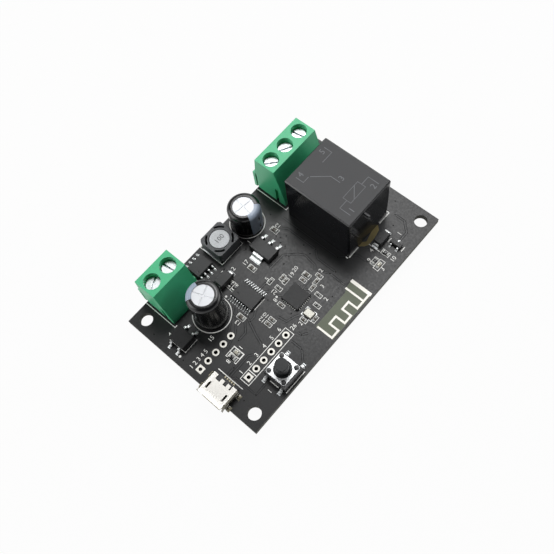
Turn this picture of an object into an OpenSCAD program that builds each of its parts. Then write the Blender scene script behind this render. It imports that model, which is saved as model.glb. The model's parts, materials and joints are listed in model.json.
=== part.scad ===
// Smart relay module: a bare circuit board that carries a relay, two rising-cage terminal blocks, a buck
// supply, a microcontroller, a radio chip with a printed antenna, a push switch and a micro USB socket.
// Frame: origin at the centre of the mounting-hole pattern on the board's underside, +X along the long side
// towards the relay, +Y towards the terminal blocks, +Z up through the components. Millimetres.

/* [Board] */
// Length of the board along X
board_l = 66; // [65:0.5:80]
// Width of the board along Y
board_w = 40; // [39.5:0.5:60]
// Thickness of the board
board_t = 1.6; // [1:0.1:2.4]
// Diameter of a mounting hole
mount_hole_d = 3.2; // [2.2:0.1:3.4]
// Distance from a board edge to a mounting hole's centre
mount_inset = 3; // [2.6:0.1:3.4]

/* [Solder joints] */
// Length of lead and solder below the board
lead_stub = 1.5; // [1:0.1:2.5]
// Width of the solder round a lead at the board
solder_foot = 0.7; // [0.5:0.05:0.9]
// Width of the solder round a lead at its tip
solder_tip = 0.12; // [0.05:0.01:0.3]
// Gap between a lead and its drilled hole
lead_gap = 0.12; // [0.08:0.01:0.2]

/* [Header rows] */
// Pitch of the header holes
header_pitch = 2.54; // [2.3:0.01:2.6]
// Diameter of a plated header hole
header_hole_d = 0.9; // [0.7:0.05:1.1]
// Width of a header pad
header_pad_d = 1.7; // [1.4:0.05:1.9]
// Thickness of the plated copper
copper_t = 0.05; // [0.03:0.01:0.1]

/* [Antenna] */
// Width of the meandering track
antenna_track = 0.5; // [0.3:0.05:0.8]
// Width of the grounded leg
antenna_leg_w = 0.85; // [0.5:0.05:1.2]
// Pitch of the meander's columns
antenna_pitch = 2.28; // [1.8:0.02:2.4]
// Depth of the meander
antenna_depth = 2.55; // [1.5:0.05:3]
// Length of the feed and the grounded leg
antenna_leg_l = 5; // [3.5:0.1:5.5]
// Length of the open end
antenna_tail_l = 4; // [2.5:0.1:5]
// Distance from the board edge to the track's centre line
antenna_edge = 0.85; // [0.6:0.05:1.5]

/* [Terminal blocks] */
// Pitch of the poles
pole_pitch = 5; // [4.9:0.02:5.3]
// Height of a block above the board
terminal_h = 12.65; // [12:0.05:14]
// Depth of a block at the board
terminal_d = 10.1; // [9.8:0.05:11]
// Depth of the top face
terminal_top_d = 5.85; // [5.2:0.05:6.4]
// Reach of a block past the board's edge
terminal_overhang = 1.1; // [0.5:0.05:2]
// Distance from the wire-entry face back to the screws
screw_to_front = 4.55; // [4.3:0.05:4.9]
// Height of the wire-entry lip
terminal_lip_h = 6; // [5.5:0.05:7]
// Step from the lip back to the upper face
terminal_lip_d = 1; // [0.6:0.05:1.2]
// Height of the upright toe below the sloped back
terminal_toe_h = 2.5; // [1.5:0.1:4]
// Width of a wire entry
entry_w = 3; // [2.4:0.05:3.1]
// Widening of the wire entry at its mouth
entry_flare = 0.25; // [0.1:0.05:0.35]
// Diameter of a screw well
well_d = 3.9; // [3.7:0.05:4.2]
// Depth of a screw head below the top face
screw_recess = 1.6; // [1.4:0.05:2.3]
// Thickness of the shoulder under a screw head
shoulder_t = 1; // [0.6:0.05:1.3]
// Proud width of the joining rib on the block's end
dovetail_out = 0.55; // [0.3:0.05:0.7]
// Height of the joining rib
dovetail_h = 5.2; // [3:0.1:7]

/* [Clamps] */
// Diameter of a clamp screw
screw_d = 3; // [2.5:0.05:3.1]
// Diameter of a screw head
screw_head_d = 3.5; // [3.3:0.05:3.6]
// Height of a screw head
screw_head_h = 1.2; // [1:0.05:1.5]
// Width of the screwdriver slot
slot_w = 0.5; // [0.4:0.05:1]
// Depth of the screwdriver slot
slot_deep = 0.7; // [0.4:0.05:0.9]
// Rise of a clamp cage per turn of its screw
thread_pitch = 0.5; // [0.35:0.05:0.5]
// Turns from open to closed
clamp_turns = 5; // [3:1:5]
// Width of a clamp cage
cage_w = 3.6; // [3.4:0.05:3.9]
// Depth of a clamp cage
cage_d = 4; // [3.6:0.05:4.2]
// Thickness of a cage's side walls
cage_wall = 0.5; // [0.3:0.05:0.55]
// Thickness of a cage's floor
cage_floor = 0.6; // [0.4:0.05:0.8]
// Thickness of a cage's threaded top
cage_nut = 1.2; // [0.8:0.05:1.4]
// Gap between a cage and the housing
cage_play = 0.15; // [0.1:0.01:0.2]
// Width of a contact bar
bar_w = 2.2; // [1.6:0.05:2.3]
// Thickness of a contact bar
bar_t = 0.7; // [0.5:0.05:0.8]
// Width of a contact bar's solder pin
terminal_pin_w = 1; // [0.7:0.05:1.2]

/* [Relay] */
// Width of the relay along X
relay_w = 14.8; // [14.6:0.1:16.5]
// Length of the relay along Y
relay_l = 18.8; // [18.6:0.1:20]
// Height of the relay above the board
relay_h = 15.4; // [14.5:0.1:18]
// Thickness of the case's walls
case_wall = 0.7; // [0.5:0.05:0.8]
// Thickness of the case's top
case_top = 0.9; // [0.6:0.05:1.2]
// Bevel along the case's top edges
case_bevel = 0.3; // [0.1:0.05:0.5]
// Radius of the case's upright corners
case_corner = 0.5; // [0.3:0.05:0.7]
// Diameter of the vent nib on the case's end
nib_d = 1.2; // [0.8:0.05:1.6]
// Length of the vent nib
nib_l = 1.4; // [0.8:0.05:2]
// Thickness of the relay's base
relay_base_t = 1.6; // [1.2:0.05:2]
// Thickness of the yoke
yoke_t = 1; // [0.8:0.05:1.2]
// Width of the yoke
yoke_w = 9; // [7:0.1:10]
// Diameter of the iron core
core_d = 4; // [3:0.1:4.2]
// Diameter of the pole face
pole_d = 6.4; // [5.5:0.1:7]
// Thickness of the pole face
pole_t = 0.6; // [0.4:0.05:0.8]
// Diameter of the bobbin's flanges
bobbin_d = 9.6; // [8.6:0.1:10]
// Thickness of a bobbin flange
bobbin_flange = 0.8; // [0.5:0.05:1]
// Thickness of the bobbin's tube
bobbin_tube = 0.5; // [0.3:0.05:0.7]
// Space from the winding to the bobbin's rim
coil_margin = 0.3; // [0.1:0.05:0.6]
// Thickness of the armature
armature_t = 1; // [0.8:0.05:1.2]
// Swing of the armature in degrees
armature_swing = 3.8; // [2.5:0.1:4.2]
// Gap at the pole face when the relay is off
armature_gap = 0.75; // [0.7:0.01:0.9]
// Thickness of the contact leaf
leaf_t = 0.25; // [0.15:0.01:0.3]
// Width of the contact leaf
leaf_w = 2.4; // [2.1:0.1:3]
// Diameter of a contact
contact_d = 2; // [1.4:0.1:2.2]
// Height of a fixed contact
contact_h = 0.25; // [0.15:0.01:0.35]
// Thickness of the contact posts
post_t = 0.4; // [0.3:0.05:0.5]
// Width of a contact post
post_w = 1.6; // [1.2:0.1:1.7]
// Width of a relay pin
relay_pin_w = 1; // [0.6:0.05:1.2]
// Distance from the relay's middle line to its outer pins
relay_pin_x = 5.75; // [5.6:0.05:5.8]

/* [Capacitors] */
// Diameter of a capacitor over its sleeve
cap_d = 8; // [7:0.1:8.2]
// Height of the front capacitor above the board
front_cap_h = 12; // [8:0.1:16]
// Height of the rear capacitor above the board
rear_cap_h = 8.2; // [7:0.1:16]
// Thickness of the sleeve
sleeve_t = 0.15; // [0.08:0.01:0.25]
// Width of the sleeve's curl over the top
sleeve_curl = 1.3; // [0.6:0.05:1.6]
// Thickness of the can
can_t = 0.3; // [0.2:0.05:0.4]
// Radius of the can's top edge
can_round = 0.9; // [0.4:0.05:1]
// Thickness of the rubber seal
seal_t = 1.5; // [1:0.1:2]
// Pitch of the capacitor leads
cap_lead_pitch = 3.5; // [3:0.1:4]
// Diameter of a capacitor lead
cap_lead_d = 0.6; // [0.45:0.05:0.7]
// Width of the vent's score lines
vent_w = 0.2; // [0.1:0.05:0.4]
// Depth of the vent's score lines
vent_deep = 0.08; // [0.05:0.01:0.2]

/* [Inductor] */
// Width of the ferrite shield
shield_w = 7; // [6.8:0.1:7.3]
// Height of the inductor above the board
inductor_h = 3.6; // [3:0.1:5]
// Cut at the shield's corners
shield_corner = 0.6; // [0.4:0.05:1]
// Diameter of the drum core
drum_d = 4.9; // [4.2:0.05:5.2]
// Thickness of a drum flange
drum_flange = 0.7; // [0.5:0.05:0.9]
// Diameter of the drum's post
drum_post_d = 2.4; // [1.6:0.1:2.8]
// Gap between the drum and the shield
drum_gap = 0.12; // [0.06:0.01:0.2]
// Depth of the winding below the drum's rim
winding_margin = 0.25; // [0.1:0.05:0.5]
// Thickness of the inductor's terminals
inductor_pad_t = 0.2; // [0.1:0.05:0.3]
// Width of the inductor's terminals
inductor_pad_w = 1.6; // [1:0.1:2.2]

/* [Chip packages] */
// Space under a chip's moulded body
chip_lift = 0.1; // [0.05:0.01:0.15]
// Draft of a chip's moulded sides
chip_draft = 0.12; // [0.05:0.01:0.2]
// Thickness of a chip's leads
lead_t = 0.2; // [0.12:0.01:0.25]
// Buck converter's width over its moulding
buck_w = 3.9; // [3.6:0.1:4.1]
// Buck converter's length
buck_l = 4.9; // [4.7:0.1:5.2]
// Buck converter's moulded height
buck_h = 1.5; // [1.2:0.05:1.8]
// Microcontroller's width over its moulding
mcu_w = 4.4; // [4.2:0.1:4.6]
// Microcontroller's length
mcu_l = 6.5; // [6.4:0.1:6.8]
// Microcontroller's moulded height
mcu_h = 0.9; // [0.8:0.05:1.2]
// Radio chip's width
radio_w = 4.9; // [4:0.1:5.2]
// Radio chip's height
radio_h = 0.85; // [0.6:0.05:1]
// Regulator's width over its moulding
regulator_w = 3.5; // [3.3:0.1:3.7]
// Regulator's length
regulator_l = 6.5; // [6.3:0.1:6.7]
// Regulator's moulded height
regulator_h = 1.6; // [1.4:0.05:1.8]
// Bridge rectifier's width over its moulding
bridge_w = 3.9; // [3.6:0.1:4.1]
// Bridge rectifier's length
bridge_l = 4.7; // [4.4:0.1:4.9]
// Bridge rectifier's moulded height
bridge_h = 2.4; // [2:0.05:2.7]
// Transistor's width over its moulding
transistor_w = 1.3; // [1.2:0.05:1.4]
// Transistor's length
transistor_l = 2.9; // [2.8:0.05:3.04]
// Transistor's moulded height
transistor_h = 1; // [0.9:0.05:1.1]
// Supply diode's length
supply_diode_l = 4; // [3.8:0.1:4.3]
// Supply diode's width
supply_diode_w = 2.6; // [2.4:0.05:2.8]
// Supply diode's moulded height
supply_diode_h = 2.1; // [1.8:0.05:2.3]
// Coil diode's length
coil_diode_l = 3.7; // [3.5:0.1:3.9]
// Coil diode's width
coil_diode_w = 2.3; // [2.1:0.05:2.5]
// Coil diode's moulded height
coil_diode_h = 1.7; // [1.4:0.05:2]
// Width of a diode's terminals
diode_terminal_w = 1.4; // [0.8:0.1:1.8]
// Reach of a diode's terminals past its body
diode_terminal_out = 0.5; // [0.2:0.05:0.7]
// Crystal's width
crystal_w = 2; // [1.6:0.1:2.2]
// Crystal's length
crystal_l = 2.5; // [2.2:0.1:2.7]
// Crystal's height
crystal_h = 0.6; // [0.5:0.05:0.8]
// Thickness of the crystal's lid
crystal_lid_t = 0.15; // [0.08:0.01:0.3]
// Margin round the crystal's lid
crystal_rim = 0.2; // [0.1:0.05:0.3]

/* [Chip resistors and capacitors] */
// Large chip's length
large_chip_l = 1.6; // [1.4:0.05:1.7]
// Large chip's width
large_chip_w = 0.8; // [0.6:0.05:0.9]
// Large chip's height
large_chip_h = 0.5; // [0.4:0.05:0.8]
// Small chip's length
small_chip_l = 1; // [0.9:0.05:1.1]
// Small chip's width
small_chip_w = 0.5; // [0.4:0.05:0.6]
// Small chip's height
small_chip_h = 0.4; // [0.3:0.05:0.5]
// Share of a chip's length that each end cap takes
cap_share = 0.22; // [0.15:0.01:0.3]
// Thickness of an LED's base
led_base_t = 0.25; // [0.15:0.01:0.3]

/* [Push switch] */
// Width of the switch
switch_w = 6; // [5.8:0.1:6.4]
// Height of the switch base
switch_base_h = 3.2; // [2.9:0.1:4.5]
// Width of the steel cover
cover_w = 5.6; // [5.4:0.1:5.8]
// Thickness of the steel cover
cover_t = 0.25; // [0.15:0.01:0.3]
// Distance from the switch's middle to a rivet
rivet_out = 2.15; // [2.12:0.01:2.2]
// Diameter of a rivet
rivet_d = 1.1; // [0.7:0.05:1.15]
// Diameter of the button
button_d = 3.1; // [3:0.05:3.6]
// Diameter of the hole in the cover round the button
cover_hole_d = 4.2; // [4.1:0.05:4.2]
// Height of the button above the board
button_h = 7; // [4.5:0.1:9]
// Travel of the button
button_travel = 0.25; // [0.15:0.01:0.3]
// Thickness of the button's flange
flange_t = 0.7; // [0.5:0.05:0.9]
// Thickness of the floor under the dome
switch_floor = 0.9; // [0.7:0.05:1.2]
// Rise of the snap dome
dome_rise = 0.6; // [0.4:0.05:0.8]
// Thickness of the snap dome
dome_t = 0.1; // [0.06:0.01:0.15]
// Distance between the switch's legs
switch_leg_pitch = 4.5; // [4:0.1:4.8]
// Reach of the switch's legs from its middle
switch_leg_reach = 4.2; // [3.9:0.1:4.6]

/* [USB socket] */
// Width of the shell
usb_w = 7.4; // [7:0.1:7.6]
// Height of the shell
usb_h = 2.55; // [2.4:0.05:2.8]
// Length of the shell
usb_l = 5.05; // [4.6:0.05:5.6]
// Thickness of the shell
usb_wall = 0.25; // [0.2:0.01:0.3]
// Reach of the shell past the board's edge
usb_overhang = 0.95; // [0.5:0.05:1.5]
// Length of the flared lips
usb_lip = 0.55; // [0.3:0.05:0.8]
// Thickness of the tongue
tongue_t = 0.6; // [0.4:0.05:0.7]
// Length of the tongue
tongue_l = 3.2; // [2.5:0.1:3.4]
// Pitch of the contacts
usb_pitch = 0.65; // [0.5:0.01:0.7]
// Width of a contact
usb_contact_w = 0.35; // [0.2:0.05:0.4]

/* [Fits] */
// Radial clearance of a turning or sliding fit
fit = 0.05; // [0.02:0.01:0.08]
// Gap between a stop and the piece that meets it
seat_gap = 0.05; // [0.02:0.01:0.08]

/* [Hidden] */
$fn = 48;
cut = 1;
below = board_t + lead_stub;

// Free room between pieces that keep together, and from a board edge to the piece beside it
front_cap_room = 1.1;
bridge_room = 1.9;
regulator_room = 1.05;
six_way_room = 2.4;
relay_shift = 0.1;
rear_cap_edge = 0.55;
inductor_edge = 0.35;
buck_edge = 3.95;
switch_edge = 0.9;

// Places on the board, measured from its middle
terminal_back = board_w / 2 + terminal_overhang - terminal_d;
two_way_x = -21.55;
three_way_x = 20.45;
mcu_at = [-10.75, 2.35];
radio_at = [-3.68, -6.5];
transistor_at = [21.35, -16.25];
supply_diode_at = [-11.3, 9.2];
coil_diode_at = [20.25, -12.75];
crystal_at = [-4.95, -11.5];
relay_at = [19.2, (terminal_back + coil_diode_at[1] + coil_diode_w / 2) / 2 + relay_shift];
front_cap_at = [-19.2, terminal_back - front_cap_room - cap_d / 2];
bridge_at = [-28, terminal_back - bridge_room - bridge_l / 2];
rear_cap_at = [3.7, board_w / 2 - rear_cap_edge - cap_d / 2];
inductor_at = [-4.8, board_w / 2 - inductor_edge - shield_w / 2];
buck_at = [-12.37, board_w / 2 - buck_edge];
regulator_at = [0.5, rear_cap_at[1] - cap_d / 2 - regulator_room - regulator_l / 2];
switch_at = [-19.15, -board_w / 2 + switch_edge + switch_w / 2];
usb_y = -8;
six_way_at = [-24.87, switch_at[1] + switch_w / 2 + six_way_room];
five_way_at = [-30.47, -1.09];
antenna_x = -6.1;
function column(i) = antenna_x + i * antenna_pitch;

// Chips: place, whether it lies along Y, and whether it is the small size
resistor_places = [
    [[-11, 7.45], false, false], [[-11.05, 6.15], false, false], [[-23.85, -4.85], true, false],
    [[18.05, -15.7], true, false], [[14.8, -14.95], false, false], [[-4.4, 0.75], false, true],
    [[-4.55, -1.9], true, true], [[-2.2, -11.6], true, true], [[0, -10.2], true, true]];
capacitor_places = [
    [[-4.66, 6.37], true, false], [[6.28, 8.85], true, false], [[-15.45, 0.1], true, false],
    [[-1.95, -0.85], false, true], [[-2.2, -2], false, true], [[-7.35, -5.1], true, true],
    [[-11.4, -5.9], true, true], [[-12.75, -5.85], true, true], [[2.1, -4.85], true, false],
    [[0.6, -5], true, true], [[-6.85, -11.5], true, true], [[-5.1, -13.35], false, true],
    [[2.25, -7.6], false, true], [[0.55, -7.95], false, true], [[3.8, -7.25], true, true]];
led_places = [[[-22.4, -4.85], true], [[14.7, -16.35], false]];
chip_places = concat(resistor_places, capacitor_places);

// Mounting holes and header rows
mount_points = [for (sx = [-1, 1], sy = [-1, 1])
    [sx * (board_l / 2 - mount_inset), sy * (board_w / 2 - mount_inset)]];
six_way_points = [for (i = [0 : 5]) six_way_at + [i * header_pitch, 0]];
five_way_points = [for (i = [0 : 4]) five_way_at + [i * header_pitch, 0]];

// Terminal poles: block middle, number of poles and pole number give each pole's place
blocks = [[two_way_x, 2], [three_way_x, 3]];
screw_y = board_w / 2 + terminal_overhang - screw_to_front;
function pole_offset(poles, i) = (i - (poles - 1) / 2) * pole_pitch;
pole_points = [for (b = blocks, i = [0 : b[1] - 1]) [b[0] + pole_offset(b[1], i), screw_y]];
slot_turns = [30, -83, -42, -30, -80];

// Heights in a terminal block, above the board
head_z = terminal_h - screw_recess - screw_head_h;
shoulder_z = head_z - seat_gap;
pocket_top = shoulder_z - shoulder_t;
cage_rise = thread_pitch * clamp_turns;
cage_z = 0.3;
cage_top = pocket_top - cage_play - cage_rise;
cage_h = cage_top - cage_z;
bar_top = cage_top - cage_nut - cage_play;
bar_z = bar_top - bar_t;
entry_z = cage_z + cage_floor - cage_play;
entry_h = bar_z - entry_z;
pocket_w = cage_w + 2 * cage_play;
pocket_d = cage_d + 2 * cage_play;
leg_wall = 0.5;
leg_y = -(pocket_d / 2 + leg_wall + bar_t / 2);
dovetail_y = leg_y - 0.05;
dovetail_w = 1.2;
dovetail_neck = 0.7;
end_groove = [0.25, 0.5];
entry_corner = 0.5;
mouth_deep = 0.4;

// Heights and places in the relay, above the board and from its middle
case_in_l = relay_l - 2 * case_wall;
case_in_w = relay_w - 2 * case_wall;
case_in_top = relay_h - case_top;
head_room = 0.55;
wall_room = 0.4;
nc_z = case_in_top - head_room - post_t;
rivet_top = nc_z - contact_h - seat_gap;
leaf_z = rivet_top - contact_h - leaf_t;
rivet_bottom = leaf_z - contact_h;
armature_z = leaf_z - armature_t;
pole_z = armature_z - armature_gap;
yoke_top = armature_z - 0.1;
yoke_y = case_in_l / 2 - wall_room - yoke_t / 2;
coil_room = 0.3;
coil_y = yoke_y - yoke_t / 2 - coil_room - bobbin_d / 2;
post_y = -case_in_l / 2 + wall_room + post_t / 2;
contact_y = post_y + post_t / 2 + contact_d / 2 + 0.5;
contact_drop = (yoke_y - contact_y + contact_d / 2) * sin(armature_swing) + seat_gap;
no_z = rivet_bottom - contact_drop - contact_h - post_t;
foot_z = relay_base_t + yoke_t;
bobbin_top = pole_z - pole_t;
coil_pin_y = 5.2;
coil_pin_w = 0.6;
coil_pin_top = 1.2;
armature_lip = 0.4;
nib_x = -2.3;
nib_drop = 1.5;
nib_at = [nib_x, relay_h - nib_drop];

// Capacitor cans
can_r = cap_d / 2 - sleeve_t;
can_z = sleeve_t;

// Places, heights and turns of the vents' crosses
front_vent_turn = 20;
rear_vent_turn = -8;

// Through-hole leads: place, width and thickness, with no thickness for a round lead
cap_places = [[front_cap_at, front_cap_h, front_vent_turn], [rear_cap_at, rear_cap_h, rear_vent_turn]];
terminal_leads = [for (p = pole_points) [p + [0, leg_y], terminal_pin_w, bar_t]];
relay_leads = concat(
    [for (sx = [-1, 1]) [relay_at + [sx * relay_pin_x, post_y], relay_pin_w, post_t]],
    [for (sx = [-1, 1]) [relay_at + [sx * relay_pin_x, coil_pin_y], coil_pin_w, coil_pin_w]],
    [[relay_at + [0, yoke_y], relay_pin_w, post_t]]);
cap_leads = [for (c = cap_places, s = [-1, 1]) [c[0] + [0, s * cap_lead_pitch / 2], cap_lead_d, 0]];
through_leads = concat(terminal_leads, relay_leads, cap_leads);
function lead_r(l) = l[2] == 0 ? l[1] / 2 : norm([l[1], l[2]]) / 2;
function drill_r(l) = lead_r(l) + lead_gap;

// Package sizes as width, length and height, with the leads on the X sides
buck_body = [buck_w, buck_l, buck_h];
mcu_body = [mcu_w, mcu_l, mcu_h];
regulator_body = [regulator_w, regulator_l, regulator_h];
bridge_body = [bridge_w, bridge_l, bridge_h];
transistor_body = [transistor_w, transistor_l, transistor_h];
supply_diode = [supply_diode_l, supply_diode_w, supply_diode_h];
coil_diode = [coil_diode_l, coil_diode_w, coil_diode_h];
diode_places = [[supply_diode_at, supply_diode], [coil_diode_at, coil_diode]];
chip_large = [large_chip_l, large_chip_w, large_chip_h];
chip_small = [small_chip_l, small_chip_w, small_chip_h];
buck_turn = 90;

// Lead rows of the chip packages: count, pitch, width and run
buck_leads = [4, 1.27, 0.42, 1.2];
mcu_leads = [10, 0.65, 0.24, 1];
bridge_leads = [2, 2.5, 0.65, 1.45];
regulator_leads = [3, 2.3, 0.72, 1.7];
regulator_tab_w = 3;
transistor_leads = [2, 1.9, 0.42, 0.6];
radio_pads = [8, 0.5, 0.24];
radio_pad_l = 0.4;
radio_pad_t = 0.2;

// Reliefs in the inductor's shield: width, inner radius and half angle
relief_w = 0.45;
relief_r = drum_d / 2 + drum_gap + 0.45;
relief_half = 22;

// Switch and USB heights above the board
flange_top = switch_base_h - seat_gap;
flange_z = flange_top - flange_t;
flange_d = cover_hole_d + 0.5;
well_r = flange_d / 2 + fit + 0.03;
dome_z = switch_floor;
dome_d = flange_d - 0.2;
button_tip_d = 1.6;
dome_top = dome_z + dome_rise + dome_t;
dome_steps = 6;
function dome_height(x) = dome_rise * (1 - pow(2 * x / dome_d, 2));
rivet_h = 0.15;
switch_leg_w = 0.7;
usb_x = -board_l / 2 - usb_overhang;
usb_top_cut = 0.35;
usb_low_cut = [1.1, 0.95];
usb_lip_rise = 0.22;
usb_side_rise = 0.15;
usb_tab = [1.2, 1.4, 0.5];
usb_tabs = [1, 4.3];
usb_slot = [1.7, 0.45, 2.4];
usb_window = [1.15, 4.3];
usb_fingers = [0.45, -1.35];
usb_finger = [0.95, 0.95];
tongue_w = 4;
tongue_z = usb_h - usb_wall - 0.65 - tongue_t;
insulator_l = 1.5;
insulator_out = 0.35;
usb_tail = 0.9;

// Shared shapes

// Stands its children on the board's top face
module on_board(at, turn = 0) translate([at[0], at[1], board_t]) rotate(turn) children();

// Runs a profile drawn in Y and Z along X, about the middle
module along_x(length) rotate([90, 0, 90]) linear_extrude(length, center = true) children();

// Runs a profile drawn in X and Z along Y, about the middle
module along_y(length) rotate([90, 0, 0]) linear_extrude(length, center = true) children();

// A box about the Z axis, with its underside at z
module block(size, z = 0) translate([-size[0] / 2, -size[1] / 2, z]) cube(size);

// A flat rectangle with round corners
module rounded(w, l, r) {
    square([w - 2 * r, l], center = true);
    square([w, l - 2 * r], center = true);
    for (sx = [-1, 1], sy = [-1, 1]) translate([sx * (w / 2 - r), sy * (l / 2 - r)]) circle(r);
}

// A tube about the Z axis
module tube(r_out, r_in, h, z = 0) translate([0, 0, z]) difference() {
    cylinder(r = r_out, h = h);
    translate([0, 0, -cut]) cylinder(r = r_in, h = h + 2 * cut);
}

// The outline of a block whose top edges are bevelled
module bevelled_outline(w, h, c) polygon([
    [-w / 2, 0], [w / 2, 0], [w / 2, h - c], [w / 2 - c, h], [-w / 2 + c, h], [-w / 2, h - c]]);

// The side outline of a moulded chip: a level band at the leads and drafted faces above and below
module moulded_outline(w, h, band) polygon([
    [-w / 2 + chip_draft, 0], [w / 2 - chip_draft, 0],
    [w / 2, h / 2 - band / 2], [w / 2, h / 2 + band / 2],
    [w / 2 - chip_draft, h], [-w / 2 + chip_draft, h],
    [-w / 2, h / 2 + band / 2], [-w / 2, h / 2 - band / 2]]);

// A moulded chip body, width along X and length along Y
module moulded(body, dimple = 0) difference() {
    translate([0, 0, chip_lift]) intersection() {
        along_y(body[1]) moulded_outline(body[0], body[2], lead_t);
        along_x(body[0]) moulded_outline(body[1], body[2], lead_t);
    }
    if (dimple > 0)
        translate([-body[0] / 2 + 2 * dimple, body[1] / 2 - 2 * dimple, chip_lift + body[2] - 0.05])
            cylinder(d = dimple, h = cut);
}

// One bent lead that leaves a body along +X at its middle height and stands on the board
module gull_lead(w, run, exit_z) along_y(w) polygon([
    [0, exit_z - lead_t / 2], [run * 0.3, exit_z - lead_t / 2], [run * 0.45, 0], [run, 0], [run, lead_t],
    [run * 0.45 + lead_t, lead_t], [run * 0.3 + lead_t, exit_z + lead_t / 2], [0, exit_z + lead_t / 2]]);

// A row of bent leads on a body's +X side, from count, pitch, width and run
module lead_row(body, leads) for (i = [0 : leads[0] - 1])
    translate([body[0] / 2, (i - (leads[0] - 1) / 2) * leads[1], 0])
        gull_lead(leads[2], leads[3], chip_lift + body[2] / 2);

// The flat shape of a lead
module lead_section(l) {
    if (l[2] == 0) circle(d = l[1]);
    else square([l[1], l[2]], center = true);
}

// Board

module drilled(at, r) translate([at[0], at[1], -cut]) cylinder(r = r, h = board_t + 2 * cut);

module circuit_board() color("#2b2d2f") difference() {
    block([board_l, board_w, board_t]);
    for (p = mount_points) drilled(p, mount_hole_d / 2);
    for (p = concat(six_way_points, five_way_points)) drilled(p, header_hole_d / 2 + copper_t);
    for (l = through_leads) drilled(l[0], drill_r(l));
}

module header_pad(first) difference() {
    union() {
        for (z = [-copper_t, board_t]) translate([0, 0, z]) linear_extrude(copper_t)
            if (first) square(header_pad_d, center = true);
            else circle(d = header_pad_d);
        cylinder(d = header_hole_d + 2 * copper_t, h = board_t);
    }
    translate([0, 0, -cut]) cylinder(d = header_hole_d, h = board_t + 2 * cut);
}

module track(a, b, w) translate([min(a[0], b[0]) - w / 2, min(a[1], b[1]) - w / 2])
    square([abs(a[0] - b[0]) + w, abs(a[1] - b[1]) + w]);

// Meandering antenna: columns joined by turns at the board's edge and inside it, a feed and a grounded leg
module antenna() {
    outer = -board_w / 2 + antenna_edge;
    inner = outer + antenna_depth;
    track([column(0), outer], [column(0), outer + antenna_tail_l], antenna_track);
    for (i = [1 : 4]) track([column(i), outer], [column(i), inner], antenna_track);
    for (i = [0, 2, 4, 5]) track([column(i), outer], [column(i + 1), outer], antenna_track);
    for (i = [1, 3]) track([column(i), inner], [column(i + 1), inner], antenna_track);
    track([column(5), outer], [column(5), outer + antenna_leg_l], antenna_track);
    track([column(6), outer], [column(6), outer + antenna_leg_l], antenna_leg_w);
}

module plated_copper() color("#e6e2cf") {
    for (i = [0 : 5]) translate(six_way_points[i]) header_pad(i == 0);
    for (i = [0 : 4]) translate(five_way_points[i]) header_pad(i == 0);
    translate([0, 0, board_t]) linear_extrude(copper_t) antenna();
}

// Solder that fills a drilled hole and cones down to the lead's tip
module solder_joints() color("#b9bcc0") for (l = through_leads) translate(l[0]) difference() {
    rotate_extrude() polygon([
        [0, -lead_stub], [lead_r(l) + solder_tip, -lead_stub], [lead_r(l) + solder_foot, 0], [drill_r(l), 0],
        [drill_r(l), board_t], [0, board_t]]);
    translate([0, 0, -lead_stub - cut]) linear_extrude(board_t + lead_stub + 2 * cut) lead_section(l);
}

// Terminal blocks

module dovetail(grow) linear_extrude(dovetail_h + grow) polygon([
    [-0.1 - grow, -dovetail_neck / 2 - grow], [dovetail_out + grow, -dovetail_w / 2 - grow],
    [dovetail_out + grow, dovetail_w / 2 + grow], [-0.1 - grow, dovetail_neck / 2 + grow]]);

module terminal_profile() polygon([
    [screw_to_front - terminal_d, 0], [screw_to_front, 0], [screw_to_front, terminal_lip_h],
    [screw_to_front - terminal_lip_d, terminal_lip_h + terminal_lip_d], [terminal_top_d / 2, terminal_h],
    [-terminal_top_d / 2, terminal_h], [screw_to_front - terminal_d, terminal_toe_h]]);

// The hollow of one pole: screw well, shaft hole, cage pocket, wire entry and the contact bar's slot
module pole_hollow() {
    translate([0, 0, shoulder_z]) cylinder(d = well_d, h = terminal_h);
    cylinder(d = screw_d + 2 * fit, h = terminal_h);
    block([pocket_w, pocket_d, pocket_top + cut], -cut);
    translate([0, screw_to_front / 2, entry_z + entry_h / 2]) along_y(screw_to_front + cut)
        rounded(entry_w, entry_h, entry_corner);
    translate([0, screw_to_front, entry_z + entry_h / 2]) along_y(2 * mouth_deep)
        rounded(entry_w + 2 * entry_flare, entry_h + 2 * entry_flare, entry_corner);
    translate([-bar_w / 2, leg_y - bar_t / 2, -cut]) cube([bar_w, -leg_y + bar_t / 2, bar_top + cut]);
}

module terminal_housing(poles) difference() {
    union() {
        along_x(poles * pole_pitch) terminal_profile();
        translate([poles * pole_pitch / 2, dovetail_y, 0]) dovetail(0);
    }
    for (i = [0 : poles - 1]) translate([pole_offset(poles, i), 0, 0]) pole_hollow();
    translate([-poles * pole_pitch / 2, dovetail_y, -fit]) dovetail(fit);
    for (s = [-1, 1]) translate([s * poles * pole_pitch / 2, screw_to_front - terminal_lip_d, 0])
        block([2 * end_groove[0], end_groove[1], terminal_lip_h + cut], -cut);
}

module terminal_housing_two_way() color("#2f8f62") on_board([two_way_x, screw_y]) terminal_housing(2);

module terminal_housing_three_way() color("#2f8f62") on_board([three_way_x, screw_y]) terminal_housing(3);

// A captive clamp screw with a slotted head, standing just off its contact bar
module terminal_screw(i) color("#dfe3e6") on_board(pole_points[i], slot_turns[i]) difference() {
    union() {
        translate([0, 0, head_z]) cylinder(d = screw_head_d, h = screw_head_h);
        translate([0, 0, bar_top + seat_gap]) cylinder(d = screw_d, h = head_z - bar_top - seat_gap);
    }
    block([screw_head_d + cut, slot_w, slot_deep + cut], head_z + screw_head_h - slot_deep);
}

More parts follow.
